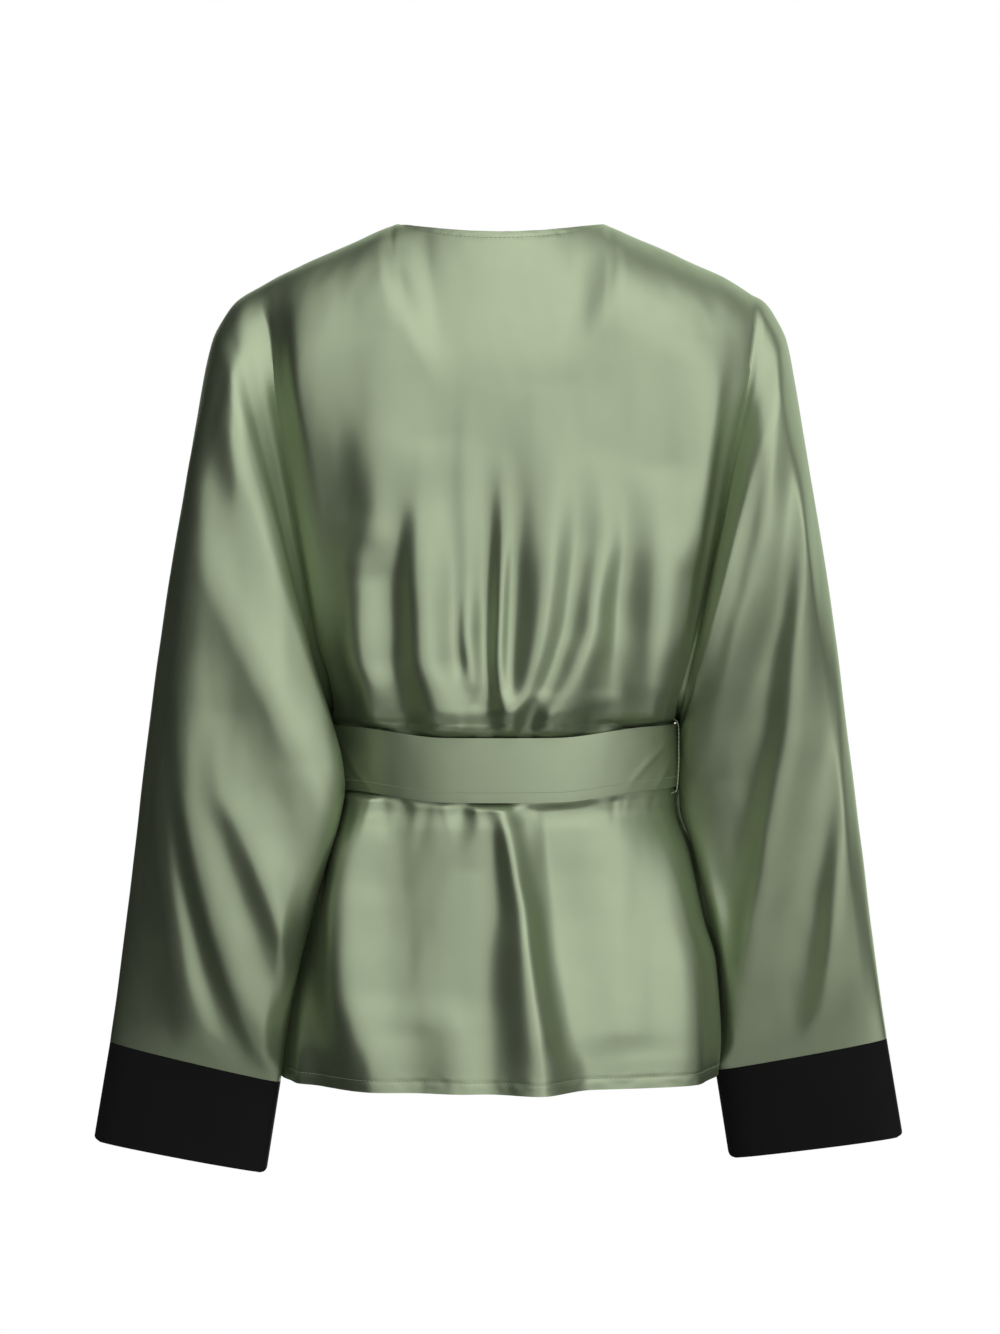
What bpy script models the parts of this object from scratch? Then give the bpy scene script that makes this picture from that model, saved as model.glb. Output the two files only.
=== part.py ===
"""Wrap top, filled out as when worn, built as hollow cloth pieces.

The back faces -Y, the wearer looks along +Y, +X is the wearer's right and +Z is up.
The origin lies midway between the high points of the shoulders, at the neck.
Every cloth piece is a wall through rings or rows worked out from the tables below.
Tables are in millimetres; everything handed to Blender is in metres.
"""

import math

import bmesh
import bpy
import numpy as np

MM = 0.001

# Driving sizes, in millimetres
WALL = 1.5
BELT_WALL = 2.0
CUFF_WALL = 2.0
GAP = 0.3
SLEEVE_GAP = 0.4
SLEEVE_CLEARANCE = 6.0
SEAM_STRIP = 3.5
NECK_HALF = 81.0
NECK_DROP_BACK = 12.0
NECK_DEPTH_BACK = 56.0
SHOULDER_SLOPE = 0.445
SHOULDER_END_LEFT = 178.0
SHOULDER_END_RIGHT = 190.0
SHOULDER_ROUND = 88.0
SHOULDER_DROOP_FROM = 165.0
SHOULDER_DROOP = 0.005
UNDERARM_Z = -383.0
HEM_Z = -652.0
BELT_TOP_Z = -388.5
BELT_HEIGHT = 48.0
BELT_TILT = 0.045
BELT_RISE = 5.0
BELT_RISE_AT = 106.0
BELT_RISE_WIDTH = 18.0
WAIST_HALF = 134.0
WAIST_BACK = 95.0
WAIST_FRONT = 92.0
BELT_CLEARANCE = {-1: 0.4, 1: 1.2}
WRAP_GAP = 4.0
BELT_CALM_HEIGHT = 12.0
BELT_CALM_MARGIN = 3.0
SIDE_CALM_WIDTH = 26.0

# Counts along and across the pieces
BACK_COLUMNS_NECK = 9
BACK_COLUMNS_SHOULDER = 11
BACK_ARMHOLE_ROWS = 16
FRONT_ARMHOLE_ROWS = 12
FRONT_COLUMNS = 16
BELT_FRONT_COLUMNS = 30
COLUMN_BIAS = 1.15

# Body sections: half depth to the back and to the front at each height
BODY = {
    "z": (0, -60, -120, -200, -290, -345, -372, -386, -446, -462, -500, -560, -610, HEM_Z),
    "back": (82, 84, 90, 96, 97, 100, 99, 95, 95, 101, 108, 118, 125, 128),
    "front": (60, 78, 98, 110, 108, 101, 96, 92, 92, 97, 103, 112, 119, 122),
}

# Seam line round the armhole and down the side: half width on each side, and how far the
# seam lies behind the middle plane. The front seam mirrors the back one.
SEAM = {
    "z": (0, -45, -92, -134, -173, -242, -319, -352, -370, -378, UNDERARM_Z)
    + (-446, -481, -535, -566, -627, HEM_Z),
    "left": (182, 178, 171, 167, 161, 150, 137, 128, 126, 129, 134, 134, 143, 157, 165, 170, 169),
    "right": (200, 196, 190, 183, 174, 162, 146, 138, 134, 134, 134, 134, 145, 157, 166, 170, 168),
    "depth": (56, 56, 54, 57, 59, 61, 60, 51, 36, 20, 0, 0, 0, 0, 0, 0, 0),
}

# How square the sections are: 0 is an ellipse, 1 is flat across the shoulder blades
FLATNESS = {"z": (0, -150, -300, -375, HEM_Z), "flat": (1.0, 1.0, 0.7, 0.0, 0.0)}

# Heights of the rows below the underarm: close together at the belt, wider apart to the hem
ROWS_AT_BELT = (-391, -403, -415, -427, -439, -447)
BACK_ROWS_BELOW = (-456, -470, -490, -515, -545, -575, -605, -630, HEM_Z)
FRONT_ROWS_BELOW = (-465, -500, -550, -600, HEM_Z)

# Free edge of a wrap front, from the neck across the centre to the far side
WRAP_EDGE = {
    "z": (0, -50, -100, -200, -300, -386, -446, HEM_Z),
    "x": (NECK_HALF, 68, 51, 13, -29, -68, -76, -98),
}

# Folds of the back. Each runs down through three points; height is positive for a ridge.
# columns: x, z at the top, middle and low point, half width top and low, height top, middle, low
BACK_FOLDS = (
    (-90, -90, -87, -180, -91, -268, 30, 18, 2.0, 7.0, 0.0),
    (-104, -250, -99, -313, -90, -378, 17, 13, 1.0, 7.0, 7.0),
    (-56, -209, -55, -300, -42, -378, 19, 17, 3.0, 10.0, 9.0),
    (36, -200, 28, -313, 7, -378, 23, 11, 4.0, 11.0, 8.5),
    (74, -235, 63, -313, 35, -378, 14, 16, 3.0, 7.5, 8.0),
    (111, -230, 107, -313, 104, -378, 18, 13, 4.0, 8.0, 8.0),
    (156, -120, 149, -190, 144, -245, 28, 16, -3.0, -6.0, 0.0),
    (-108, -452, -116, -540, -114, -660, 17, 19, 7.0, 11.0, 9.0),
    (-48, -452, -52, -540, -30, -660, 22, 22, 2.0, 3.0, 5.0),
    (3, -452, 19, -550, 29, -660, 11, 19, 6.0, 13.0, 12.0),
    (39, -455, 48, -550, 70, -660, 24, 26, -4.0, -7.0, -7.0),
    (126, -470, 129, -560, 130, -660, 16, 18, -1.0, -4.0, -4.0),
)

# Folds of the wrap fronts: gentle, falling to the belt and flaring below it
FRONT_FOLDS = (
    (98, -170, 90, -290, 66, -376, 20, 11, -1.0, -3.5, -5.0),
    (46, -240, 30, -310, 14, -376, 14, 9, -0.5, -2.5, -4.0),
    (-20, -300, -34, -345, -46, -378, 10, 8, -0.5, -2.0, -3.5),
    (70, -455, 74, -540, 84, -660, 12, 20, -4.0, -6.0, -8.0),
    (10, -455, 8, -540, 4, -660, 10, 18, -3.0, -5.0, -7.0),
    (-45, -455, -52, -540, -60, -660, 10, 16, -3.0, -4.0, -5.0),
)

# Path of the over-arm line and of the under-arm edge, from the armhole to the cuff
OUTER_PATH = (
    (0, -45), (200, -57), (212, -73), (219, -88), (229, -134), (241, -211),
    (258, -327), (273, -442), (288, -558), (298, -625.5),
)
INNER_PATH_LEFT = (
    (134, -383), (140, -390), (138, -398), (129, -404), (120, -416), (117, -432),
    (120, -452), (131, -490), (151, -566), (163, -630), (166, -653),
)
INNER_PATH_RIGHT = (
    (134, -383), (140, -390), (140, -400), (136, -415), (133, -440),
    (139, -481), (153, -540), (162, -600), (168, -653),
)

# How full the sleeves' sections are: 0.5 is an ellipse, less is flatter with rounder edges
SLEEVE_FULLNESS = 0.42

# Along each sleeve: y of the under-arm edge on each side (the left sleeve lies nearer the
# back, the right one nearer the front), y of the over-arm line, how deep the sleeve swells
# to the back and to the front, and how far its back fold leans over the seam
SLEEVE = {
    "s": (0.0, 0.035, 0.065, 0.10, 0.16, 0.28, 0.45, 0.65, 0.85, 0.95, 1.0),
    "inner_left": (0, -12, -30, -48, -57, -60, -60, -58, -52, -46, -42),
    "inner_right": (0, 8, 22, 36, 47, 50, 50, 48, 42, 37, 34),
    "outer_left": (0, 0, 0, 0, -1, -2, -4, -6, -8, -9, -9),
    "outer_right": (0, 0, 0, 0, 1, 2, 4, 6, 8, 9, 9),
    "back": (57, 64, 70, 75, 77, 76, 68, 56, 40, 30, 23),
    "front": (57, 62, 66, 68, 70, 68, 62, 54, 38, 29, 23),
    "inward": (0, 9, 10, 9, 6, 2, 0, 0, 0, 0, 0),
}
SLEEVE_STEPS = (
    0.035, 0.065, 0.10, 0.14, 0.19, 0.25, 0.32, 0.40, 0.48, 0.56, 0.64, 0.72, 0.80, 0.88, 0.95, 1.0,
)

# Folds of each sleeve on the back side; the x values are given outward from the middle
LEFT_SLEEVE_FOLDS = (
    (196, -110, 191, -205, 158, -360, 17, 20, 3.0, 6.0, 2.0),
    (228, -230, 236, -410, 168, -640, 18, 18, 2.0, 7.5, 5.0),
    (206, -410, 176, -500, 150, -590, 17, 12, 2.0, 6.0, 0.0),
    (252, -430, 244, -510, 216, -640, 12, 16, 2.0, 5.0, 2.0),
)
RIGHT_SLEEVE_FOLDS = (
    (190, -100, 182, -200, 155, -330, 10, 11, 2.0, 4.0, 0.0),
    (214, -105, 200, -225, 162, -400, 13, 18, 3.0, 5.5, 1.0),
    (236, -150, 222, -350, 171, -640, 13, 18, 4.0, 8.0, 5.0),
    (264, -370, 257, -500, 243, -640, 13, 16, 2.5, 7.0, 2.0),
)

CUFF_TOP = ((298.3, -625.8), (168.3, -653.9))
CUFF_END = ((310.7, -700.4), (179.0, -721.9))
CUFF_GAP = 0.6
CUFF_ROWS = 4

KNOT_HALF = (21.0, 13.0, 24.0)

# Hanging ends of the belt: gathered at the knot, they fan out over the first third
BELT_END_LENGTH = 205.0
BELT_END_WIDTH = 46.0
BELT_END_GATHER = 0.62
BELT_END_AT_KNOT = 15.5
BELT_END_FAN_OUT = 12.0
BELT_END_LEAN = 10.0
BELT_END_FAN = 0.35
BELT_END_OFF_BODY = 12.0
BELT_END_CUP = 2.5
BELT_END_ROWS = 12
BELT_END_COLUMNS = 6

SATIN = (0.30, 0.36, 0.235)
CUFF_BLACK = (0.006, 0.006, 0.006)


# ---------------------------------------------------------------- numbers and curves


def through(keys, values, at):
    """Value at a key on a smooth curve through a table's rows that never overshoots them."""
    keys = np.asarray(keys, float)
    values = np.asarray(values, float)
    if keys[0] > keys[-1]:
        keys = keys[::-1]
        values = values[::-1]
    step = np.diff(keys)
    rise = np.diff(values) / step
    slope = np.zeros(len(keys))
    slope[0] = rise[0]
    slope[-1] = rise[-1]
    for i in range(1, len(keys) - 1):
        if rise[i - 1] * rise[i] > 0:
            slope[i] = 2 * rise[i - 1] * rise[i] / (rise[i - 1] + rise[i])
    at = np.clip(at, keys[0], keys[-1])
    i = np.clip(np.searchsorted(keys, at) - 1, 0, len(step) - 1)
    t = (at - keys[i]) / step[i]
    return (
        (2 * t**3 - 3 * t**2 + 1) * values[i]
        + (t**3 - 2 * t**2 + t) * step[i] * slope[i]
        + (3 * t**2 - 2 * t**3) * values[i + 1]
        + (t**3 - t**2) * step[i] * slope[i + 1]
    )


def ease(t):
    t = np.clip(t, 0.0, 1.0)
    return t * t * (3 - 2 * t)


def along(path, s):
    """Point at a share of the length of a path."""
    points = np.asarray(path, float)
    lengths = np.concatenate([[0], np.cumsum(np.linalg.norm(np.diff(points, axis=0), axis=1))])
    share = lengths / lengths[-1]
    return np.array([through(share, points[:, k], s) for k in range(points.shape[1])])


def cosine_rows(count):
    return (1 - np.cos(np.pi * np.arange(count + 1) / count)) / 2


# ---------------------------------------------------------------- body surface


def seam_half(z, side):
    return through(SEAM["z"], SEAM["left" if side < 0 else "right"], z)


def shoulder_end(side):
    return SHOULDER_END_LEFT if side < 0 else SHOULDER_END_RIGHT


def shoulder_z(x):
    """Height of the shoulder line at a distance from the middle."""
    fall = SHOULDER_SLOPE * (abs(x) - NECK_HALF)
    return -fall - SHOULDER_DROOP * max(abs(x) - SHOULDER_DROOP_FROM, 0.0) ** 2


def half_width(z, top_z, side):
    """Half width of the body at a height: the shoulder's at its top, the seam line's below."""
    lowered = ease((top_z - z) / 40 + 0.02)
    return shoulder_end(side) + (seam_half(z, side) - shoulder_end(side)) * lowered


def top_of_back(x):
    """Depth and height of the back's upper edge: the neckline, then the shoulder seam."""
    if abs(x) >= NECK_HALF:
        return -GAP / 2, shoulder_z(x)
    inside = 1 - (abs(x) / NECK_HALF) ** 2
    return -GAP / 2 - NECK_DEPTH_BACK * inside**0.6, -NECK_DROP_BACK * inside


def section_depth(x, z, half_depth, facing):
    """Depth of the body's section at x and z, before the shoulder rounds it over."""
    side = -1 if x < 0 else 1
    across = min(abs(x) / seam_half(z, side), 1.0)
    seam_depth = through(SEAM["z"], SEAM["depth"], z)
    flat = through(FLATNESS["z"], FLATNESS["flat"], z)
    power = 2 + 0.9 * flat
    root = 1 / (2 - 0.75 * flat)
    reach = half_depth - seam_depth
    return facing * max(seam_depth + reach * (1 - across**power) ** root, GAP / 2)


def over_shoulder(depth, top_depth, drop, neckness):
    """Rounds the section over into the upper edge."""
    span = SHOULDER_ROUND * (1 + 0.5 * neckness)
    t = min(max(drop, 0.0) / span, 1.0)
    share = (1 - (1 - t) ** 2) ** (0.5 + 0.4 * neckness)
    return top_depth + (depth - top_depth) * share


def fold_height(folds, x, z):
    """Height of the table's folds at x and z, none of it under the belt or at the side."""
    total = 0.0
    for x0, z0, x1, z1, x2, z2, wide0, wide2, h0, h1, h2 in folds:
        if z > z0 + 30 or z < z2 - 12:
            continue
        middle = through((z0, z1, z2), (x0, x1, x2), z)
        share = (z0 - z) / (z0 - z2)
        wide = wide0 + (wide2 - wide0) * min(max(share, 0.0), 1.0)
        height = through((z0, z1, z2), (h0, h1, h2), z)
        fade = ease((z0 + 30 - z) / 60)
        total += height * fade * math.exp(-(((x - middle) / wide) ** 2))
    return total


def belt_level(x, y):
    """Height of the belt round the waist: low at the back, drawn up beside the sleeves."""
    rise = BELT_RISE * math.exp(-(((abs(x) - BELT_RISE_AT) / BELT_RISE_WIDTH) ** 2))
    return BELT_TILT * y + (rise if y < 0 else 0.0)


def belt_calm(x, z, facing):
    """0 under the belt, 1 away from it."""
    y = facing * WAIST_BACK * math.sqrt(max(1 - (x / WAIST_HALF) ** 2, 0.0))
    level = belt_level(x, y)
    above = ease((z - BELT_TOP_Z - level - BELT_CALM_MARGIN) / BELT_CALM_HEIGHT)
    below = ease((BELT_TOP_Z - BELT_HEIGHT + level - BELT_CALM_MARGIN - z) / BELT_CALM_HEIGHT)
    return max(above, below)


def side_calm(x, z):
    """0 at the side seam and the armhole, 1 away from them."""
    side = -1 if x < 0 else 1
    return ease((seam_half(z, side) - abs(x)) / SIDE_CALM_WIDTH)


def body_point(x, z, facing, folds, top=None):
    """Outer point of the body. facing is -1 on the back and 1 on the front."""
    half_depth = through(BODY["z"], BODY["back" if facing < 0 else "front"], z)
    depth = section_depth(x, z, half_depth, facing)
    if top is not None:
        top_depth, top_z, neckness = top
        depth = over_shoulder(depth, top_depth, top_z - z, neckness)
    lift = fold_height(folds, x, z) * belt_calm(x, z, facing) * side_calm(x, z)
    across = x / seam_half(z, -1 if x < 0 else 1)
    out = np.array([0.6 * across, facing * math.sqrt(1 - 0.36 * across**2), 0.0])
    return np.array([x, depth, z]) + lift * out


def section_share(u, z):
    """Place across a section, from even spacing on the shoulders to even angles at the waist."""
    flat = through(FLATNESS["z"], FLATNESS["flat"], z)
    u = u**COLUMN_BIAS
    return flat * u + (1 - flat) * math.sin(u * math.pi / 2)


def back_rows(top_z):
    upper = top_z + (UNDERARM_Z - top_z) * cosine_rows(BACK_ARMHOLE_ROWS)
    return np.concatenate([upper, ROWS_AT_BELT, BACK_ROWS_BELOW])


def back_surface():
    """Rows from the neck and shoulders to the hem, columns from the left to the right."""
    columns = []
    count = BACK_COLUMNS_NECK + BACK_COLUMNS_SHOULDER
    for column in range(-count, count + 1):
        side = -1 if column < 0 else 1
        step = abs(column)
        if step <= BACK_COLUMNS_NECK:
            top_x = NECK_HALF * step / BACK_COLUMNS_NECK
        else:
            past = (step - BACK_COLUMNS_NECK) / BACK_COLUMNS_SHOULDER
            top_x = NECK_HALF + (shoulder_end(side) - NECK_HALF) * past
        top_share = top_x / shoulder_end(side)
        top_depth, top_z = top_of_back(top_x)
        neckness = ease((NECK_HALF + 12 - top_x) / 40)
        points = []
        for z in back_rows(top_z):
            lowered = ease((top_z - z) / 120)
            share = (1 - lowered) * top_share + lowered * section_share(step / count, z)
            x = side * share * half_width(z, top_z, side)
            top = (top_depth, top_z, neckness)
            points.append(body_point(x, z, -1, BACK_FOLDS, top))
        points[0] = np.array([side * top_x, top_depth, top_z])
        columns.append(points)
    return np.array(columns).transpose(1, 0, 2)


def front_rows(top_z):
    upper = top_z + (UNDERARM_Z - top_z) * cosine_rows(FRONT_ARMHOLE_ROWS)
    return np.concatenate([upper, ROWS_AT_BELT, FRONT_ROWS_BELOW])


def front_surface(side):
    """Rows from the shoulder to the hem, columns from the side to the free wrap edge."""
    columns = []
    for column in range(FRONT_COLUMNS + 1):
        u = column / FRONT_COLUMNS
        top_x = shoulder_end(side) + (NECK_HALF - shoulder_end(side)) * u
        top_z = shoulder_z(top_x)
        neckness = ease((u - 0.55) / 0.45)
        points = []
        for z in front_rows(top_z):
            half = half_width(z, top_z, side)
            edge = through(WRAP_EDGE["z"], WRAP_EDGE["x"], z)
            start = math.pi / 2
            end = math.asin(max(min(edge / half, 1.0), -1.0))
            flat = through(FLATNESS["z"], FLATNESS["flat"], z)
            x_round = half * math.sin(start + (end - start) * u)
            x = flat * (half + (edge - half) * u) + (1 - flat) * x_round
            if z >= top_z:
                x = top_x
            top = (GAP / 2, top_z, neckness)
            point = body_point(side * x, z, 1, FRONT_FOLDS, top)
            if side < 0:
                under = ease((side * x + 135) / 25) * ease((top_z - z) / 60)
                point[1] -= WRAP_GAP * under
            points.append(point)
        points[0] = np.array([side * top_x, GAP / 2, top_z])
        columns.append(points)
    return np.array(columns).transpose(1, 0, 2)


# ---------------------------------------------------------------- walls


def grid_normals(points, ring):
    """Unit normals of a grid's points, and how far each is stretched to keep the wall."""
    rows, columns = points.shape[:2]
    down = np.diff(points, axis=0)
    across = np.roll(points, -1, axis=1) - points
    faces = np.cross(across[:-1], down)
    if not ring:
        faces = np.cross(across[:-1, :-1], down[:, :-1])
    faces /= np.maximum(np.linalg.norm(faces, axis=2, keepdims=True), 1e-9)
    total = np.zeros_like(points)
    around = np.zeros((rows, columns))
    for dr in (0, 1):
        for dc in (0, 1):
            for r in range(faces.shape[0]):
                for c in range(faces.shape[1]):
                    total[r + dr, (c + dc) % columns] += faces[r, c]
                    around[r + dr, (c + dc) % columns] += 1
    length = np.linalg.norm(total, axis=2)
    normals = total / np.maximum(length, 1e-9)[..., None]
    cosine = length / np.maximum(around, 1)
    return normals, 1 / np.clip(cosine, 0.65, 1.0)


def away_from(normals, points, centre):
    """Turns the normals so that on the whole they point away from a centre."""
    toward = ((points - centre) * normals).sum()
    return normals if toward > 0 else -normals


def build_object(name, outer, inner, ring, material):
    """One closed wall between two grids of points given in millimetres."""
    rows, columns = outer.shape[:2]
    verts = np.concatenate([outer.reshape(-1, 3), inner.reshape(-1, 3)]) * MM
    layer = rows * columns

    def at(r, c, inside):
        return inside * layer + r * columns + c % columns

    faces = []
    last = columns if ring else columns - 1
    for r in range(rows - 1):
        for c in range(last):
            a, b, d, e = at(r, c, 0), at(r, c + 1, 0), at(r + 1, c + 1, 0), at(r + 1, c, 0)
            faces += [(a, b, d), (a, d, e)]
            faces += [(layer + d, layer + b, layer + a), (layer + e, layer + d, layer + a)]
    for c in range(last):
        for r, turn in ((0, 1), (rows - 1, -1)):
            rim = (at(r, c, 0), at(r, c, 1), at(r, c + 1, 1), at(r, c + 1, 0))
            faces.append(rim[::turn])
    if not ring:
        for r in range(rows - 1):
            for c, turn in ((0, -1), (columns - 1, 1)):
                rim = (at(r, c, 0), at(r, c, 1), at(r + 1, c, 1), at(r + 1, c, 0))
                faces.append(rim[::turn])
    mesh = bpy.data.meshes.new(name)
    mesh.from_pydata(verts.tolist(), [], faces)
    shape = bmesh.new()
    shape.from_mesh(mesh)
    bmesh.ops.recalc_face_normals(shape, faces=shape.faces)
    shape.to_mesh(mesh)
    shape.free()
    mesh.shade_smooth()
    mesh.set_sharp_from_angle(angle=math.radians(50))
    mesh.materials.append(material)
    obj = bpy.data.objects.new(name, mesh)
    bpy.context.scene.collection.objects.link(obj)
    return obj


def cloth_material(name, colour, roughness):
    material = bpy.data.materials.new(name)
    material.use_nodes = True
    shader = material.node_tree.nodes["Principled BSDF"]
    shader.inputs["Base Color"].default_value = (*colour, 1.0)
    shader.inputs["Roughness"].default_value = roughness
    shader.inputs["Metallic"].default_value = 0.0
    return material


# ---------------------------------------------------------------- body pieces


def body_walls(outer, armhole_rows, side_columns):
    """Inner grid of a body piece, with its seam edges squared to their seams."""
    normals, stretch = grid_normals(outer, False)
    normals = away_from(normals, outer, outer.mean(axis=(0, 1)) * (0.0, 0.0, 1.0))
    for column in side_columns:
        normals[armhole_rows:, column, 1] = 0.0
    for column in range(outer.shape[1]):
        if abs(outer[0, column, 0]) >= NECK_HALF - 0.1:
            normals[0, column, 1] = 0.0
    normals /= np.linalg.norm(normals, axis=2, keepdims=True)
    return outer - normals * (WALL * stretch)[..., None], normals


def armhole_edge(outer, inner, normals, column, rows):
    """The piece's edge along the armhole, from the shoulder to the underarm."""
    return outer[: rows + 1, column], inner[: rows + 1, column], normals[: rows + 1, column]


# ---------------------------------------------------------------- sleeves


def armhole_ring(back_edge, front_edge):
    """Closed ring round the armhole: down the back edge, then up the front edge."""
    ring = []
    for back, front in zip(back_edge, front_edge):
        top = (back[0] + front[0]) / 2
        bottom = (back[-1] + front[-1]) / 2
        ring.append(np.concatenate([[top], back[1:-1], [bottom], front[-2:0:-1]]))
    outer, inner, normals = ring
    tangent = np.roll(outer, -1, axis=0) - np.roll(outer, 1, axis=0)
    away = np.cross(tangent, normals)
    away /= np.linalg.norm(away, axis=1, keepdims=True)
    middle = outer.mean(axis=0)
    side = 1 if middle[0] > 0 else -1
    if (away[:, 0] * side).sum() < 0:
        away = -away
    return outer, inner, away


def ring_shares():
    """Share of the way from the over-arm line to the under-arm edge, and side, of each column."""
    back = cosine_rows(BACK_ARMHOLE_ROWS)
    front = cosine_rows(FRONT_ARMHOLE_ROWS)
    shares = np.concatenate([back, front[-2:0:-1]])
    facing = np.concatenate([-np.ones(len(back)), np.ones(len(front) - 2)])
    return shares, facing


def sleeve_ring(s, side):
    """Ring of the sleeve at a share of its length, before the seam and the folds shape it."""
    start_x = shoulder_end(side)
    start = (start_x, shoulder_z(start_x))
    outer_x, outer_z = along((start,) + OUTER_PATH[1:], s)
    word = "left" if side < 0 else "right"
    inner_x, inner_z = along(INNER_PATH_LEFT if side < 0 else INNER_PATH_RIGHT, s)
    outer = np.array([side * outer_x, through(SLEEVE["s"], SLEEVE["outer_" + word], s), outer_z])
    inner = np.array([side * inner_x, through(SLEEVE["s"], SLEEVE["inner_" + word], s), inner_z])
    back = through(SLEEVE["s"], SLEEVE["back"], s)
    front = through(SLEEVE["s"], SLEEVE["front"], s)
    inward = through(SLEEVE["s"], SLEEVE["inward"], s)
    late = 1 + 5 * (1 - ease(s / 0.35))
    shares, facing = ring_shares()
    ring = []
    for share, face in zip(shares, facing):
        full = 0.5 + (SLEEVE_FULLNESS - 0.5) * ease(s / 0.3)
        swell = max(4 * share * (1 - share), 0.0) ** full
        swell *= 1 + 0.25 * (0.5 - share) * ease(s / 0.3)
        point = outer + (inner - outer) * share
        point[1] = outer[1] + (inner[1] - outer[1]) * share**late
        point = point + np.array([0.0, face * swell * (back if face < 0 else front), 0.0])
        point[0] -= side * inward * swell
        ring.append(point)
    return np.array(ring)


def clear_of_body(points, clearance):
    """Moves points out of the body's section where the sleeve hangs past it."""
    moved = points.copy()
    for i, (x, y, z) in enumerate(points):
        side = -1 if x < 0 else 1
        facing = -1 if y < 0 else 1
        depth = through(BODY["z"], BODY["back" if y < 0 else "front"], z)
        if z < UNDERARM_Z + 4:
            reach = math.hypot(x / (seam_half(z, side) + clearance), y / (depth + clearance))
            if reach < 1:
                moved[i, :2] = points[i, :2] / reach
        elif abs(x) < seam_half(z, side):
            least = abs(section_depth(x, z, depth, facing)) + clearance * 0.6
            moved[i, 1] = facing * max(abs(y), least)
    return moved


def sleeve_surface(seam_outer, away, side, folds):
    """Outer grid of the sleeve: rings from the armhole to the cuff."""
    strip = seam_outer + SEAM_STRIP * away
    from_seam = strip - sleeve_ring(0.0, side)
    rings = [seam_outer + SLEEVE_GAP * away, strip]
    shares, facing = ring_shares()
    across_calm = ease(shares / 0.12) * ease((1 - shares) / 0.12)
    for s in SLEEVE_STEPS:
        hold = (1 - min(s / 0.30, 1.0)) ** 2
        ring = sleeve_ring(s, side) + from_seam * hold
        calm = across_calm * ease(s / 0.12) * ease((1 - s) / 0.08 + 0.15)
        for i in np.flatnonzero(facing < 0):
            ring[i, 1] -= calm[i] * fold_height(folds, abs(ring[i, 0]), ring[i, 2])
        rings.append(clear_of_body(ring, SLEEVE_CLEARANCE))
    return np.array(rings)


def sleeve_walls(outer, seam_inner, away):
    normals, stretch = grid_normals(outer, True)
    centre_line = outer.mean(axis=1, keepdims=True)
    if ((outer - centre_line) * normals).sum() < 0:
        normals = -normals
    inner = outer - normals * (WALL * stretch)[..., None]
    inner[0] = seam_inner + SLEEVE_GAP * away
    return inner


# ---------------------------------------------------------------- cuffs, belt, knot and ends


def cuff_walls(side, sleeve_end):
    """Straight wide band below the sleeve's last ring, with the ring's own columns."""
    shares = ring_shares()[0][:, None]
    (top_out, top_in), (end_out, end_in) = np.array(CUFF_TOP), np.array(CUFF_END)
    fall = end_out + (end_in - end_out) * shares - top_out - (top_in - top_out) * shares
    top = sleeve_end - np.array([0.0, 0.0, CUFF_GAP])
    rings = []
    for t in np.linspace(0, 1, CUFF_ROWS + 1):
        ring = top.copy()
        ring[:, 0] += side * t * fall[:, 0]
        ring[:, 2] += t * fall[:, 1]
        rings.append(ring)
    outer = np.array(rings)
    normals, stretch = grid_normals(outer, True)
    if ((outer - outer.mean(axis=1, keepdims=True)) * normals).sum() < 0:
        normals = -normals
    return outer, outer - normals * (CUFF_WALL * stretch)[..., None]


def belt_ring():
    """Angles round the waist: the back's own columns, then the front's."""
    count = BACK_COLUMNS_NECK + BACK_COLUMNS_SHOULDER
    half_back = [section_share(c / count, BELT_TOP_Z) for c in range(count + 1)]
    back = [(-1, -across) for across in half_back[:0:-1]] + [(-1, across) for across in half_back]
    front = [
        (1, math.cos(c / BELT_FRONT_COLUMNS * math.pi)) for c in range(1, BELT_FRONT_COLUMNS)
    ]
    return back + front


def belt_surface(wall):
    """Rows of the belt round the waist, tilted with its lower edge deeper at the back."""
    ring = []
    for facing, across in belt_ring():
        depth = WAIST_BACK if facing < 0 else WAIST_FRONT
        x = WAIST_HALF * across
        y = facing * depth * math.sqrt(max(1 - across**2, 0.0))
        out = np.array([x / WAIST_HALF**2, y / depth**2, 0.0])
        out /= np.linalg.norm(out)
        ring.append(np.array([x, y, 0.0]) + out * (BELT_CLEARANCE[facing] + wall))
    ring = np.array(ring)
    rows = []
    for z in np.linspace(BELT_TOP_Z, BELT_TOP_Z - BELT_HEIGHT, 4):
        level = ring.copy()
        level[:, 2] = z + [belt_level(x, y) for x, y in ring[:, :2]]
        rows.append(level)
    return np.array(rows)


def knot_block(name, centre, half, material):
    """A rounded block: the tight knot of the belt."""
    shape = bmesh.new()
    bmesh.ops.create_cube(shape, size=2.0)
    bmesh.ops.subdivide_edges(shape, edges=shape.edges, cuts=3, use_grid_fill=True)
    for vert in shape.verts:
        direction = np.array(vert.co)
        norm = (np.abs(direction) ** 3).sum() ** (1 / 3)
        placed = np.array(centre) + direction / norm * np.array(half)
        vert.co = placed * MM
    mesh = bpy.data.meshes.new(name)
    shape.to_mesh(mesh)
    shape.free()
    mesh.shade_smooth()
    mesh.materials.append(material)
    obj = bpy.data.objects.new(name, mesh)
    bpy.context.scene.collection.objects.link(obj)
    return obj


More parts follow.
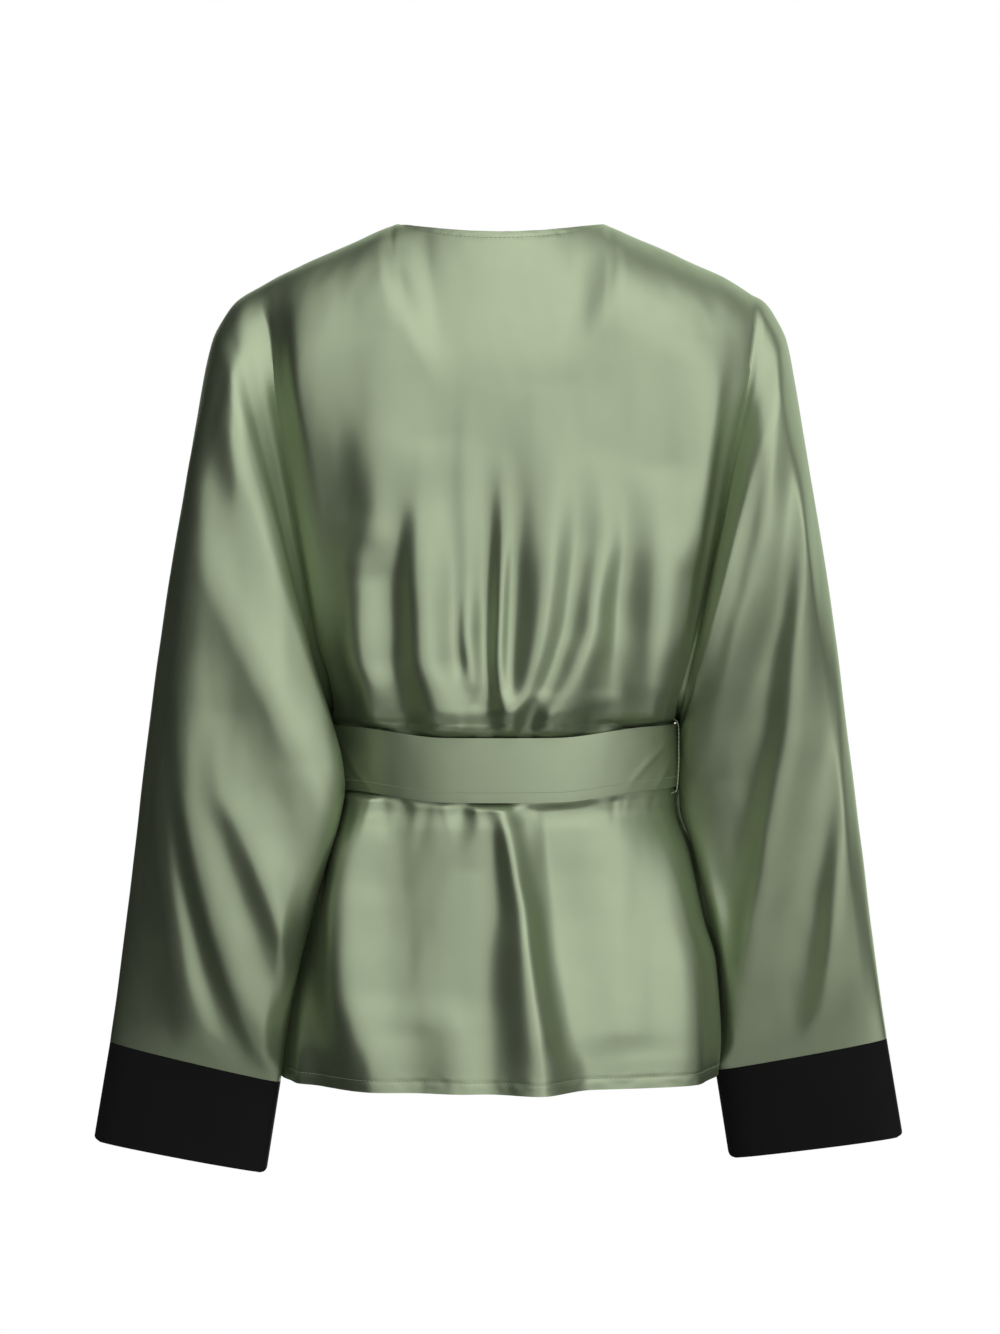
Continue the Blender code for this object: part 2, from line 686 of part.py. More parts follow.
def belt_end_surface(side, top_y, top_z):
    """A hanging end of the belt: a flat strip that fans out a little from the knot."""
    rows = []
    for t in np.linspace(0, 1, BELT_END_ROWS + 1):
        fanned = ease(t / BELT_END_FAN)
        half = BELT_END_WIDTH / 2 * (BELT_END_GATHER + (1 - BELT_END_GATHER) * fanned)
        middle_x = side * (BELT_END_AT_KNOT + BELT_END_FAN_OUT * fanned + BELT_END_LEAN * t)
        z = top_z - BELT_END_LENGTH * t
        body_y = through(BODY["z"], BODY["front"], z) + BELT_END_OFF_BODY + 4 * t
        y = top_y + (body_y - top_y) * ease(t / 0.4)
        row = []
        for across in np.linspace(-1, 1, BELT_END_COLUMNS + 1):
            cup = BELT_END_CUP * math.cos(across * 2.4) * (1 - 0.4 * t)
            row.append([middle_x + across * half, y + cup, z - 3 * side * across * t])
        rows.append(row)
    return np.array(rows)


def main():
    for obj in list(bpy.data.objects):
        bpy.data.objects.remove(obj, do_unlink=True)
    satin = cloth_material("satin", SATIN, 0.38)
    cuff_cloth = cloth_material("cuff_black", CUFF_BLACK, 0.6)

    back_outer = back_surface()
    back_inner, back_normals = body_walls(back_outer, BACK_ARMHOLE_ROWS, (0, -1))
    build_object("back", back_outer, back_inner, False, satin)

    for side, word, folds in ((-1, "left", LEFT_SLEEVE_FOLDS), (1, "right", RIGHT_SLEEVE_FOLDS)):
        outer = front_surface(side)
        inner, normals = body_walls(outer, FRONT_ARMHOLE_ROWS, (0,))
        build_object("front_" + word, outer, inner, False, satin)
        column = 0 if side < 0 else -1
        back_edge = armhole_edge(back_outer, back_inner, back_normals, column, BACK_ARMHOLE_ROWS)
        front_edge = armhole_edge(outer, inner, normals, 0, FRONT_ARMHOLE_ROWS)
        seam_outer, seam_inner, away = armhole_ring(back_edge, front_edge)
        sleeve_outer = sleeve_surface(seam_outer, away, side, folds)
        sleeve_inner = sleeve_walls(sleeve_outer, seam_inner, away)
        build_object("sleeve_" + word, sleeve_outer, sleeve_inner, True, satin)
        cuff_outer, cuff_inner = cuff_walls(side, sleeve_outer[-1])
        build_object("cuff_" + word, cuff_outer, cuff_inner, True, cuff_cloth)

    inside = belt_surface(0.0)
    outside = belt_surface(BELT_WALL)
    build_object("belt", outside, inside, True, satin)
    belt_middle_z = BELT_TOP_Z - BELT_HEIGHT / 2 + BELT_TILT * WAIST_FRONT
    knot_y = WAIST_FRONT + BELT_CLEARANCE[1] + BELT_WALL + GAP + KNOT_HALF[1]
    knot_block("belt_knot", (0.0, knot_y, belt_middle_z), KNOT_HALF, satin)
    for side, word in ((-1, "left"), (1, "right")):
        top_z = belt_middle_z - KNOT_HALF[2] - GAP
        outer = belt_end_surface(side, knot_y, top_z)
        normals, stretch = grid_normals(outer, False)
        if normals[..., 1].sum() < 0:
            normals = -normals
        inner = outer - normals * BELT_WALL
        build_object("belt_end_" + word, outer, inner, False, satin)


main()
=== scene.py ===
"""Looks of the wrap top: satin cloth, black cuffs and a tied belt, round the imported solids.

Tables are in millimetres, as in the solids; meshes are in metres.
The back faces -Y, +X is the wearer's right, +Z is up.
"""

import math

import bpy
import numpy as np
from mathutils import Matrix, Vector, noise


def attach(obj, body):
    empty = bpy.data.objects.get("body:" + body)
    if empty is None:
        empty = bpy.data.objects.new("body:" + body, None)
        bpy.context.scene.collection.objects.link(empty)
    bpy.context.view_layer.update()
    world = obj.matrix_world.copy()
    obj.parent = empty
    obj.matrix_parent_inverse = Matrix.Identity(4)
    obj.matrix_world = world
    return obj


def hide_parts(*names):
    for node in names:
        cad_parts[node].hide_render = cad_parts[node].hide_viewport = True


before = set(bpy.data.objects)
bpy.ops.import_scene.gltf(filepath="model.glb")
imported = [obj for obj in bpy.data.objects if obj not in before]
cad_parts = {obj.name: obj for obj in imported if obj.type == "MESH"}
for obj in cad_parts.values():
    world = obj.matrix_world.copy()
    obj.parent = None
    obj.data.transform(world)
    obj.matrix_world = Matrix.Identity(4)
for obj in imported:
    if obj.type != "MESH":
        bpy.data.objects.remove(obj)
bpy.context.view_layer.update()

MM = 0.001

# ---- camera, in metres

SENSOR = 36.0
CAMERA_AWAY = 2.5
CAMERA_Z = -0.340
SEEN_HEIGHT = 1.027


def make_camera():
    camera = bpy.data.objects.new("camera", bpy.data.cameras.new("camera"))
    bpy.context.scene.collection.objects.link(camera)
    camera.data.sensor_fit = "VERTICAL"
    camera.data.sensor_height = SENSOR
    camera.data.lens = SENSOR * CAMERA_AWAY / SEEN_HEIGHT
    camera.data.clip_end = 50.0
    camera.location = (0.0, -CAMERA_AWAY, CAMERA_Z)
    camera.rotation_euler = (math.radians(90), 0.0, 0.0)
    bpy.context.scene.camera = camera


make_camera()

# ---- sizes
# Most sizes of the form are those of the solids. The gaps and clearances, the belt's rise, the calm
# beside the belt and the sleeves' tilt and fullness are the cloth's own.

GAP = 0.06
SLEEVE_GAP = 0.12
SLEEVE_CLEARANCE = 4.0
SEAM_STRIP = 3.5
NECK_HALF = 81.0
NECK_DROP_BACK = 12.0
NECK_DEPTH_BACK = 56.0
SHOULDER_SLOPE = 0.445
SHOULDER_END_LEFT = 178.0
SHOULDER_END_RIGHT = 190.0
SHOULDER_ROUND = 88.0
SHOULDER_DROOP_FROM = 165.0
SHOULDER_DROOP = 0.005
UNDERARM_Z = -383.0
HEM_Z = -652.0
BELT_TOP_Z = -388.5
BELT_HEIGHT = 48.0
BELT_TILT = 0.045
BELT_RISE = 6.2
BELT_RISE_FROM = 40.0
BELT_RISE_OVER = 70.0
BELT_DROP_OVER = 22.0
BELT_CALM_MARGIN = 0.3
BELT_CALM_HEIGHT = 5.0
WAIST_HALF = 134.0
WAIST_BACK = 95.0
WAIST_FRONT = 92.0
WRAP_GAP = 4.0
COLUMN_BIAS = 1.15

BODY = {
    "z": (0, -60, -120, -200, -290, -345, -372, -386, -446, -462, -500, -560, -610, HEM_Z),
    "back": (82, 84, 90, 96, 97, 100, 99, 95, 95, 101, 108, 118, 125, 128),
    "front": (60, 78, 98, 110, 108, 101, 96, 92, 92, 97, 103, 112, 119, 122),
}
SEAM = {
    "z": (0, -45, -92, -134, -173, -242, -319, -352, -370, -378, UNDERARM_Z)
    + (-446, -481, -535, -566, -627, HEM_Z),
    "left": (182, 178, 171, 167, 161, 150, 137, 128, 126, 129, 134, 134, 143, 157, 165, 170, 169),
    "right": (200, 196, 190, 183, 174, 162, 146, 138, 134, 134, 134, 134, 145, 157, 166, 170, 168),
    "depth": (56, 56, 54, 57, 59, 61, 60, 51, 36, 20, 0, 0, 0, 0, 0, 0, 0),
}
FLATNESS = {"z": (0, -150, -300, -375, HEM_Z), "flat": (1.0, 1.0, 0.7, 0.0, 0.0)}
WRAP_EDGE = {
    "z": (0, -50, -100, -200, -300, -386, -446, HEM_Z),
    "x": (NECK_HALF, 68, 51, 13, -29, -68, -76, -98),
}
OUTER_PATH = (
    (0, -45), (200, -57), (212, -73), (219, -88), (229, -134), (241, -211),
    (258, -327), (273, -442), (288, -558), (298, -625.5),
)
INNER_PATH = {
    -1: (
        (134, -383), (140, -390), (138, -398), (129, -404), (120, -416), (117, -432),
        (120, -452), (131, -490), (151, -566), (163, -630), (166, -653),
    ),
    1: (
        (134, -383), (140, -390), (140, -400), (136, -415), (133, -440),
        (139, -481), (153, -540), (162, -600), (168, -653),
    ),
}
SLEEVE = {
    "s": (0.0, 0.035, 0.065, 0.10, 0.16, 0.28, 0.45, 0.65, 0.85, 0.95, 1.0),
    "inner_left": (0, -12, -28, -43, -50, -51, -50, -49, -46, -43, -41),
    "inner_right": (0, 8, 20, 31, 39, 41, 41, 41, 38, 35, 33),
    "outer_left": (0, 0, 0, -2, -6, -10, -13, -14, -13, -11, -10),
    "outer_right": (0, 0, 0, 2, 5, 9, 12, 13, 12, 11, 10),
    "back": (57, 64, 70, 75, 77, 76, 68, 56, 40, 30, 23),
    "front": (57, 62, 66, 68, 70, 68, 62, 54, 38, 29, 23),
    "inward": (0, 9, 10, 9, 6, 2, 0, 0, 0, 0, 0),
}
CUFF_TOP = ((298.3, -625.8), (168.3, -653.9))
CUFF_END = ((310.7, -700.4), (179.0, -721.9))
CUFF_GAP = 0.3
SLEEVE_FULLNESS = 0.20
BACK_FOLD_DEPTH = 1.38
SLEEVE_FOLD_DEPTH = 1.4
CUFF_CLOTH = 1.8
CUFF_CORNER = 3.2
BELT_CLOTH = 1.8
BELT_CLEAR = {-1: 0.5, 1: 1.2}
BELT_LEAN = 1.4
KNOT_HALF = (21.0, 13.0, 24.0)
KNOT_OFF_BELT = 4.5
BELT_END_LENGTH = 205.0
BELT_END_WIDTH = 46.0
BELT_END_GATHER = 0.62
BELT_END_AT_KNOT = 15.5
BELT_END_FAN_OUT = 12.0
BELT_END_LEAN = 10.0
BELT_END_FAN = 0.35
BELT_END_OFF_BODY = 12.0
LOOP_X = 130.0
LOOP_RADIUS = 0.5
HEM_STITCH_UP = 8.5
EDGE_STITCH_IN = 5.5
BELT_STITCH_UP = 8.5
STITCH_PITCH = 3.3
STITCH_LENGTH = 2.5
STITCH_RADIUS = 0.22
# Rings of a stitch: share of its length, share of its radius, height over the cloth
STITCH_RINGS = ((0, 0.4, -0.1), (0.2, 1, 0.12), (0.8, 1, 0.12), (1, 0.4, -0.1))
STITCH_SIDES = 6
LOOP_RINGS = 90
LOOP_SIDES = 8
LOOP_LUMP = 0.28
LOOP_LUMP_PITCH = 1.4
NECK_CURVE = 0.6
BACK_STEPS = 20
NECK_STEPS = 9
SIDE_CALM = 22.0
EDGE_CALM = 14.0
LONG_WAVE = (34, 34, 120)
LONG_SHARE = 0.75
SHORT_WAVE = (13, 13, 46)
SHORT_SHARE = 0.28
GROOVE_DEPTH = 0.30
GROOVE_WIDTH = 1.3
PUCKER = 0.45
PUCKER_WAVE = (7, 7, 7)
KNOT_TURN = 88
KNOT_SQUARENESS = 3

# Gathers at the belt's edges: edge, seed, how many, reach (up is positive), half of their span
BACK_GATHERS = (
    (BELT_TOP_Z - 4, 11, 34, 46, 118),
    (BELT_TOP_Z - BELT_HEIGHT - 4, 12, 30, -44, 120),
)
FRONT_GATHERS = (
    (BELT_TOP_Z + 4, 21, 34, 42, 118),
    (BELT_TOP_Z - BELT_HEIGHT + 4, 22, 30, -40, 120),
)
# Creases of the belt beside the sleeves: x, height from its top edge, slant, width, how far out
BELT_CREASES = (
    (112, -20, 0.9, 2.8, 0.5),
    (102, -31, 0.7, 2.4, 0.35),
    (121, -32, 0.5, 2.4, 0.5),
    (-112, -18, -0.6, 2.8, 0.5),
    (-103, -34, -0.8, 2.4, 0.35),
    (-122, -26, -0.4, 2.2, 0.5),
)
BELT_CREASE_LENGTH = 12

# ---- how finely the cloth is made

CLOTH = 0.9
BACK_COLUMNS = 188
UPPER_ROWS = 110
BACK_LOWER_ROWS = 96
FRONT_COLUMNS = 90
FRONT_LOWER_ROWS = 84
SLEEVE_ROWS = 110

# ---- folds
# Each fold: profile power (2 soft, lower is sharper), then points down the fold.
# Columns of a point: x, z, width to the left, width to the right, height (negative is a trough)
# Origin of the back's table: a scratch program fitted folds to the photo's shading, and the table was
# retyped and changed with that fit in view. The 11th, 13th and 14th fold still follow it, the
# 1st, 4th, 5th and 12th nearly, the others less; only the 16th has nothing of it.
BACK_FOLDS = (
    (1.9, ((-90, -90, 30, 40, 0), (-91, -130, 30, 38, 2), (-90, -155, 28, 34, 3), (-89, -180, 25, 32, 4.8),
        (-88, -209, 22, 22, 6.2), (-88, -239, 20, 14, 6.6), (-92, -275, 16, 12, 0))),
    (2.0, ((-104, -225, 18, 20, 0), (-104, -250, 18, 18, 3), (-101, -268, 18, 16, 6), (-99, -290, 18, 14, 8),
        (-99, -313, 18, 14, 9), (-98, -335, 17, 13, 9), (-92, -357, 16, 13, 8.5), (-90, -384, 14, 12, 7))),
    (2.0, ((-56, -170, 15, 34, 0), (-56, -209, 15, 28, 4), (-56, -239, 16, 24, 9), (-55, -268, 18, 22, 12.5),
        (-53, -300, 19, 20, 14.5), (-52, -335, 19, 20, 14.5), (-46, -357, 19, 24, 14),
        (-41, -376, 20, 25, 13.5), (-38, -390, 20, 24, 13))),
    (2.0, ((-24, -140, 9, 16, 0), (-25, -190, 9, 14, 2), (-23, -268, 8, 10, 3.2), (-23, -313, 7, 9, 6),
        (-21, -335, 7, 9, 6.5), (-17, -368, 7, 9, 0))),
    (2.0, ((2, -180, 9, 9, 0), (2, -239, 7, 8, 4.2), (1, -268, 7, 7, 6.2), (0, -290, 7, 7, 7.2),
        (-1, -335, 7, 7, 8), (0, -357, 7, 7, 7), (2, -382, 7, 7, 0))),
    (2.0, ((40, -130, 28, 30, 0), (38, -179, 27, 28, 4), (36, -209, 25, 24, 6.5), (34, -239, 22, 20, 9.5),
        (33, -268, 20, 18, 12.5), (31, -290, 19, 18, 14), (28, -313, 17, 17, 14.5), (24, -335, 15, 15, 14),
        (18, -357, 13, 13, 13), (8, -376, 12, 10, 13), (5, -390, 11, 10, 11))),
    (2.0, ((74, -180, 13, 22, 0), (75, -239, 13, 17, 6), (70, -268, 12, 16, 9.5), (66, -290, 12, 16, 11.5),
        (63, -313, 12, 17, 13), (56, -335, 12, 19, 13.5), (47, -357, 12, 22, 13.5), (36, -376, 12, 27, 13.5),
        (33, -390, 12, 27, 12))),
    (2.0, ((113, -190, 16, 26, 0), (112, -239, 15, 24, 8), (110, -268, 14, 24, 12),
        (108, -290, 14, 24, 13.5), (107, -313, 14, 24, 14), (106, -335, 14, 22, 14), (105, -357, 14, 20, 14),
        (104, -390, 13, 16, 13))),
    (2.0, ((158, -90, 28, 16, 0), (158, -120, 28, 15, 3), (156, -150, 28, 14, 5.5), (152, -179, 26, 13, 7),
        (148, -209, 24, 12, 7.5), (143, -239, 17, 10, 6), (138, -272, 14, 10, 0))),
    (2.0, ((-106, -442, 12, 20, 7), (-108, -457, 13, 22, 10), (-112, -476, 14, 24, 12.5),
        (-114, -498, 15, 24, 13.5), (-115, -520, 16, 26, 14.5), (-113, -579, 18, 26, 13),
        (-103, -612, 24, 24, 12), (-94, -636, 30, 22, 11), (-92, -654, 30, 22, 10))),
    (2.0, ((-47, -442, 12, 13, 1.5), (-50, -476, 22, 20, 0.8), (-54, -520, 24, 24, 0.8),
        (-50, -579, 26, 22, 1.2), (-32, -609, 28, 16, 3.5), (-29, -654, 28, 16, 4.5))),
    (2.0, ((-16, -442, 8, 9, 4.5), (-14, -460, 10, 10, 3.5), (-22, -490, 12, 12, 0))),
    (2.0, ((-1, -440, 9, 8, 7), (4, -457, 9, 9, 8), (8, -476, 9, 9, 8.5), (12, -498, 10, 9, 9.5),
        (16, -520, 12, 10, 11), (19, -550, 16, 11, 14.5), (22, -579, 19, 12, 15.5), (26, -609, 21, 14, 15.5),
        (28, -631, 23, 16, 14), (29, -654, 24, 17, 13))),
    (2.1, ((38, -442, 14, 36, -3), (39, -476, 14, 40, -7), (42, -498, 16, 38, -8.5),
        (45, -520, 17, 34, -8.5), (48, -550, 18, 32, -7), (53, -579, 18, 32, -5.5), (57, -609, 18, 34, -5.5),
        (67, -631, 17, 36, -7), (70, -654, 17, 36, -8))),
    (2.0, ((130, -456, 16, 14, 0), (134, -510, 18, 14, 6), (140, -579, 20, 14, 8.5),
        (142, -654, 20, 12, 7))),
    (2.0, ((-150, -560, 9, 9, 0), (-148, -600, 9, 9, 3.5), (-149, -654, 9, 9, 4.5))),
)
# Broad swells of the back: x, z, width, height of the swell, and how far it stands out
BACK_SWELLS = (
    (132, -290, 22, 64, 9.0),
    (-148, -125, 26, 64, 8.0),
)
# The front is hidden in the photo: its folds are guessed.
FRONT_FOLDS = (
    (2.0, ((98, -150, 20, 20, 0), (95, -220, 20, 20, -2.5), (88, -290, 16, 16, -4), (66, -380, 11, 11, -5))),
    (1.8, ((50, -220, 14, 14, 0), (32, -300, 12, 12, -2.5), (14, -380, 9, 9, -4.5))),
    (1.8, ((-16, -280, 10, 10, 0), (-34, -345, 9, 9, -2), (-46, -380, 8, 8, -3.5))),
    (2.0, ((118, -200, 14, 14, 0), (112, -300, 12, 12, 3), (96, -380, 9, 9, 3.5))),
    (2.0, ((72, -240, 12, 12, 0), (60, -310, 10, 10, 2), (40, -380, 8, 8, 3))),
    (2.0, ((-96, -200, 18, 18, 0), (-92, -290, 15, 15, -3.5), (-78, -380, 10, 10, -4.5))),
    (2.0, ((-120, -220, 13, 13, 0), (-114, -310, 11, 11, 3), (-104, -380, 9, 9, 3.5))),
    (1.9, ((70, -450, 12, 12, -3.5), (74, -540, 15, 15, -6), (84, -660, 20, 20, -8))),
    (1.9, ((10, -450, 10, 10, -2.5), (8, -540, 14, 14, -5), (4, -660, 18, 18, -7))),
    (1.9, ((-45, -450, 10, 10, -2.5), (-52, -540, 13, 13, -4), (-60, -660, 16, 16, -5))),
    (2.0, ((106, -450, 10, 10, -2), (112, -540, 13, 13, -4.5), (118, -660, 15, 15, -5))),
    (2.0, ((-112, -450, 10, 10, -2), (-118, -540, 13, 13, -4.5), (-124, -660, 15, 15, -5))),
)
# Folds of the sleeves; x is given outward from the middle. Those behind were typed from the places
# of bright and dark bands that a scratch program listed from the photo; those in front are guessed.
SLEEVE_FOLDS_BACK = {
    -1: (
        (2.0, ((194, -50, 24, 12, 0), (193, -94, 24, 13, 5), (198, -124, 24, 13, 6),
            (198, -162, 24, 14, 6.5), (192, -199, 24, 15, 6.5), (180, -237, 22, 24, 5),
            (170, -275, 20, 24, 4.5), (164, -312, 18, 24, 4), (160, -350, 18, 22, 4), (148, -387, 16, 24, 2),
            (140, -412, 16, 24, 0))),
        (2.0, ((226, -100, 18, 14, 0), (228, -162, 20, 14, 1), (233, -237, 22, 14, 1.5),
            (237, -312, 24, 14, 2.5), (239, -362, 26, 14, 5), (236, -425, 26, 13, 8),
            (230, -462, 26, 12, 9.5), (222, -500, 26, 12, 10), (212, -538, 26, 12, 10),
            (200, -575, 24, 12, 9.5), (184, -613, 22, 12, 8), (164, -650, 20, 12, 5))),
        (2.0, ((256, -380, 10, 12, 0), (254, -425, 10, 12, 3), (250, -462, 10, 15, 5),
            (246, -500, 11, 18, 6.5), (240, -538, 12, 20, 7), (234, -575, 13, 22, 7), (224, -613, 14, 24, 6),
            (210, -650, 14, 24, 4))),
        (2.0, ((208, -375, 22, 12, 0), (206, -425, 22, 13, 3), (190, -462, 20, 13, 5.5),
            (175, -500, 18, 13, 7.5), (162, -538, 16, 12, 8), (152, -575, 14, 12, 5),
            (150, -605, 14, 12, 0))),
    ),
    1: (
        (2.0, ((190, -60, 10, 12, 0), (192, -110, 10, 12, 3), (190, -162, 10, 10, 4),
            (183, -199, 10, 10, 4.5), (174, -237, 10, 10, 4.5), (165, -275, 10, 10, 4), (157, -312, 9, 9, 3),
            (150, -355, 9, 9, 0))),
        (2.0, ((214, -75, 12, 14, 0), (214, -124, 12, 16, 5.5), (209, -162, 12, 18, 7.5),
            (203, -199, 12, 20, 8.5), (198, -237, 12, 22, 8.5), (190, -275, 13, 24, 7.5),
            (180, -312, 13, 24, 7.5), (172, -350, 14, 24, 7), (164, -387, 14, 22, 4),
            (158, -425, 14, 22, 0))),
        (2.0, ((238, -100, 12, 14, 0), (235, -162, 13, 14, 7), (234, -199, 13, 14, 10),
            (232, -237, 13, 16, 11.5), (229, -275, 13, 18, 12), (225, -312, 13, 20, 11.5),
            (221, -350, 13, 22, 10.5), (218, -387, 13, 24, 9.5), (211, -425, 13, 24, 9.5),
            (204, -462, 13, 24, 9.5), (198, -500, 13, 24, 9.5), (191, -538, 13, 24, 9.5),
            (185, -575, 13, 24, 9), (176, -613, 12, 22, 8), (168, -650, 12, 22, 5))),
        (2.0, ((262, -335, 10, 14, 0), (264, -387, 11, 14, 4), (264, -425, 11, 16, 6),
            (262, -462, 11, 18, 6.5), (257, -500, 11, 20, 7.5), (254, -538, 11, 22, 8),
            (250, -575, 11, 24, 7.5), (245, -613, 11, 24, 5), (242, -650, 11, 24, 2))),
        (2.0, ((150, -460, 8, 10, 0), (155, -500, 8, 10, 3.5), (166, -538, 8, 9, 5), (170, -575, 8, 8, 4.5),
            (172, -608, 8, 8, 0))),
    ),
}
SLEEVE_FOLDS_FRONT = {
    -1: (
        (1.8, ((205, -90, 9, 9, 0), (196, -180, 9, 9, -4), (180, -260, 9, 9, 0))),
        (1.8, ((236, -250, 10, 10, 0), (222, -380, 10, 10, -5), (196, -520, 10, 10, -5),
            (182, -630, 9, 9, -2))),
        (2.0, ((254, -380, 10, 10, 0), (240, -500, 10, 10, 4), (222, -620, 10, 10, 1.5))),
    ),
    1: (
        (1.8, ((208, -90, 9, 9, 0), (198, -190, 9, 9, -4.5), (186, -270, 9, 9, 0))),
        (1.8, ((240, -220, 10, 10, 0), (230, -340, 10, 10, -5), (206, -480, 10, 10, -5.5),
            (184, -620, 9, 9, -2))),
        (2.0, ((216, -230, 10, 10, 0), (206, -360, 10, 10, 3.5), (186, -500, 10, 10, 1.5))),
    ),
}

# ---- numbers and curves


def through(keys, values, at):
    """Value at a key on a smooth curve through a table's rows that never overshoots them."""
    keys = np.asarray(keys, float)
    values = np.asarray(values, float)
    if keys[0] > keys[-1]:
        keys = keys[::-1]
        values = values[::-1]
    step = np.diff(keys)
    rise = np.diff(values) / step
    slope = np.zeros(len(keys))
    slope[0] = rise[0]
    slope[-1] = rise[-1]
    for i in range(1, len(keys) - 1):
        if rise[i - 1] * rise[i] > 0:
            slope[i] = 2 * rise[i - 1] * rise[i] / (rise[i - 1] + rise[i])
    at = np.clip(at, keys[0], keys[-1])
    i = np.clip(np.searchsorted(keys, at) - 1, 0, len(step) - 1)
    t = (at - keys[i]) / step[i]
    return (
        (2 * t**3 - 3 * t**2 + 1) * values[i]
        + (t**3 - 2 * t**2 + t) * step[i] * slope[i]
        + (3 * t**2 - 2 * t**3) * values[i + 1]
        + (t**3 - t**2) * step[i] * slope[i + 1]
    )


def ease(t):
    t = np.clip(t, 0.0, 1.0)
    return t * t * (3 - 2 * t)


def path_lengths(points):
    return np.concatenate([[0], np.cumsum(np.linalg.norm(np.diff(points, axis=0), axis=1))])


def along(path, s):
    """Points at shares of the length of a path."""
    points = np.asarray(path, float)
    lengths = path_lengths(points)
    share = lengths / lengths[-1]
    return np.stack([through(share, points[:, k], s) for k in range(points.shape[1])], axis=-1)


def cosine_rows(count):
    return (1 - np.cos(np.pi * np.arange(count + 1) / count)) / 2


def waves(points, scale, seed):
    """Smooth noise at points in millimetres; scale is the size of its waves along x, y and z."""
    flat = points.reshape(-1, 3) / np.asarray(scale, float)
    place = Vector((seed * 7.3, seed * 3.1, 0.0))
    return np.array([noise.noise(Vector(p) + place) for p in flat]).reshape(points.shape[:-1])


# ---- body surface


def seam_half(z, side):
    return np.where(side < 0, through(SEAM["z"], SEAM["left"], z), through(SEAM["z"], SEAM["right"], z))


def shoulder_end(side):
    return np.where(side < 0, SHOULDER_END_LEFT, SHOULDER_END_RIGHT)


def shoulder_z(x):
    fall = SHOULDER_SLOPE * (np.abs(x) - NECK_HALF)
    return -fall - SHOULDER_DROOP * np.maximum(np.abs(x) - SHOULDER_DROOP_FROM, 0.0) ** 2


def half_width(z, top_z, side):
    lowered = ease((top_z - z) / 40 + 0.02)
    return shoulder_end(side) + (seam_half(z, side) - shoulder_end(side)) * lowered


def body_depth(z, facing):
    back, front = (through(BODY["z"], BODY[word], z) for word in ("back", "front"))
    return np.where(facing < 0, back, front)


def flatness(z):
    return through(FLATNESS["z"], FLATNESS["flat"], z)


def section_depth(x, z, half_depth, facing, side):
    across = np.minimum(np.abs(x) / seam_half(z, side), 1.0)
    seam_depth = through(SEAM["z"], SEAM["depth"], z)
    flat = flatness(z)
    reach = half_depth - seam_depth
    shape = np.maximum(1 - across ** (2 + 0.9 * flat), 0.0) ** (1 / (2 - 0.75 * flat))
    return facing * np.maximum(seam_depth + reach * shape, GAP / 2)


def over_shoulder(depth, top_depth, drop, neckness):
    t = np.clip(np.maximum(drop, 0.0) / (SHOULDER_ROUND * (1 + 0.5 * neckness)), 0.0, 1.0)
    return top_depth + (depth - top_depth) * (1 - (1 - t) ** 2) ** (0.5 + 0.4 * neckness)


def fold_height(folds, x, z):
    """Height of a table's folds at x and z."""
    total = np.zeros_like(x)
    for power, points in folds:
        table = np.array(points, float)
        keys = table[:, 1]
        middle, left, right, height = (through(keys, table[:, k], z) for k in (0, 2, 3, 4))
        lean = (through(keys, table[:, 0], z + 2) - through(keys, table[:, 0], z - 2)) / 4
        away = (x - middle) / np.sqrt(1 + lean**2)
        width = np.where(away < 0, left, right)
        top = ease((keys[0] + 24 - z) / 24)
        bottom = ease((z - keys[-1] + 24) / 24)
        total += height * top * bottom * np.exp(-np.abs(away / width) ** power)
    return total


def swell_height(swells, x, z):
    """Height of a table's broad swells at x and z."""
    total = np.zeros_like(x)
    for middle_x, middle_z, across, down, height in swells:
        total += height * np.exp(-(((x - middle_x) / across) ** 2) - ((z - middle_z) / down) ** 2)
    return total


def gathers(x, z, edge_z, seed, count, reach, half):
    """Small uneven gathers running from an edge of the belt; reach is positive upward."""
    draw = np.random.default_rng(seed)
    total = np.zeros_like(x)
    for i in range(count):
        place = -half + 2 * half * (i + draw.uniform(0.1, 0.9)) / count
        width = draw.uniform(2.2, 5.0)
        length = abs(reach) * draw.uniform(0.35, 1.0)
        height = draw.uniform(0.3, 1.3) * draw.choice([-1.0, 1.0], p=[0.6, 0.4])
        slant = draw.uniform(-0.25, 0.25)
        away = (z - edge_z) * math.copysign(1, reach)
        fade = np.clip(1 - away / length, 0, 1) ** 1.5 * ease((away + 6) / 6)
        total += height * fade * np.exp(-(((x - place - slant * (z - edge_z)) / width) ** 2))
    return total


def belt_level(x, y):
    """Height of the belt round the waist: low at the back, drawn up beside the sleeves."""
    beside = ease((np.abs(x) - BELT_RISE_FROM) / BELT_RISE_OVER)
    return BELT_TILT * y + BELT_RISE * beside * ease((BELT_DROP_OVER - y) / BELT_DROP_OVER)


def belt_calm(x, z, facing):
    """0 under the belt, 1 away from it."""
    y = facing * WAIST_BACK * np.sqrt(np.maximum(1 - (x / WAIST_HALF) ** 2, 0.0))
    level = belt_level(x, y)
    above = ease((z - BELT_TOP_Z - level - BELT_CALM_MARGIN) / BELT_CALM_HEIGHT)
    below = ease((BELT_TOP_Z - BELT_HEIGHT + level - BELT_CALM_MARGIN - z) / BELT_CALM_HEIGHT)
    return np.maximum(above, below)


def section_share(u, z):
    flat = flatness(z)
    u = u**COLUMN_BIAS
    return flat * u + (1 - flat) * np.sin(u * math.pi / 2)


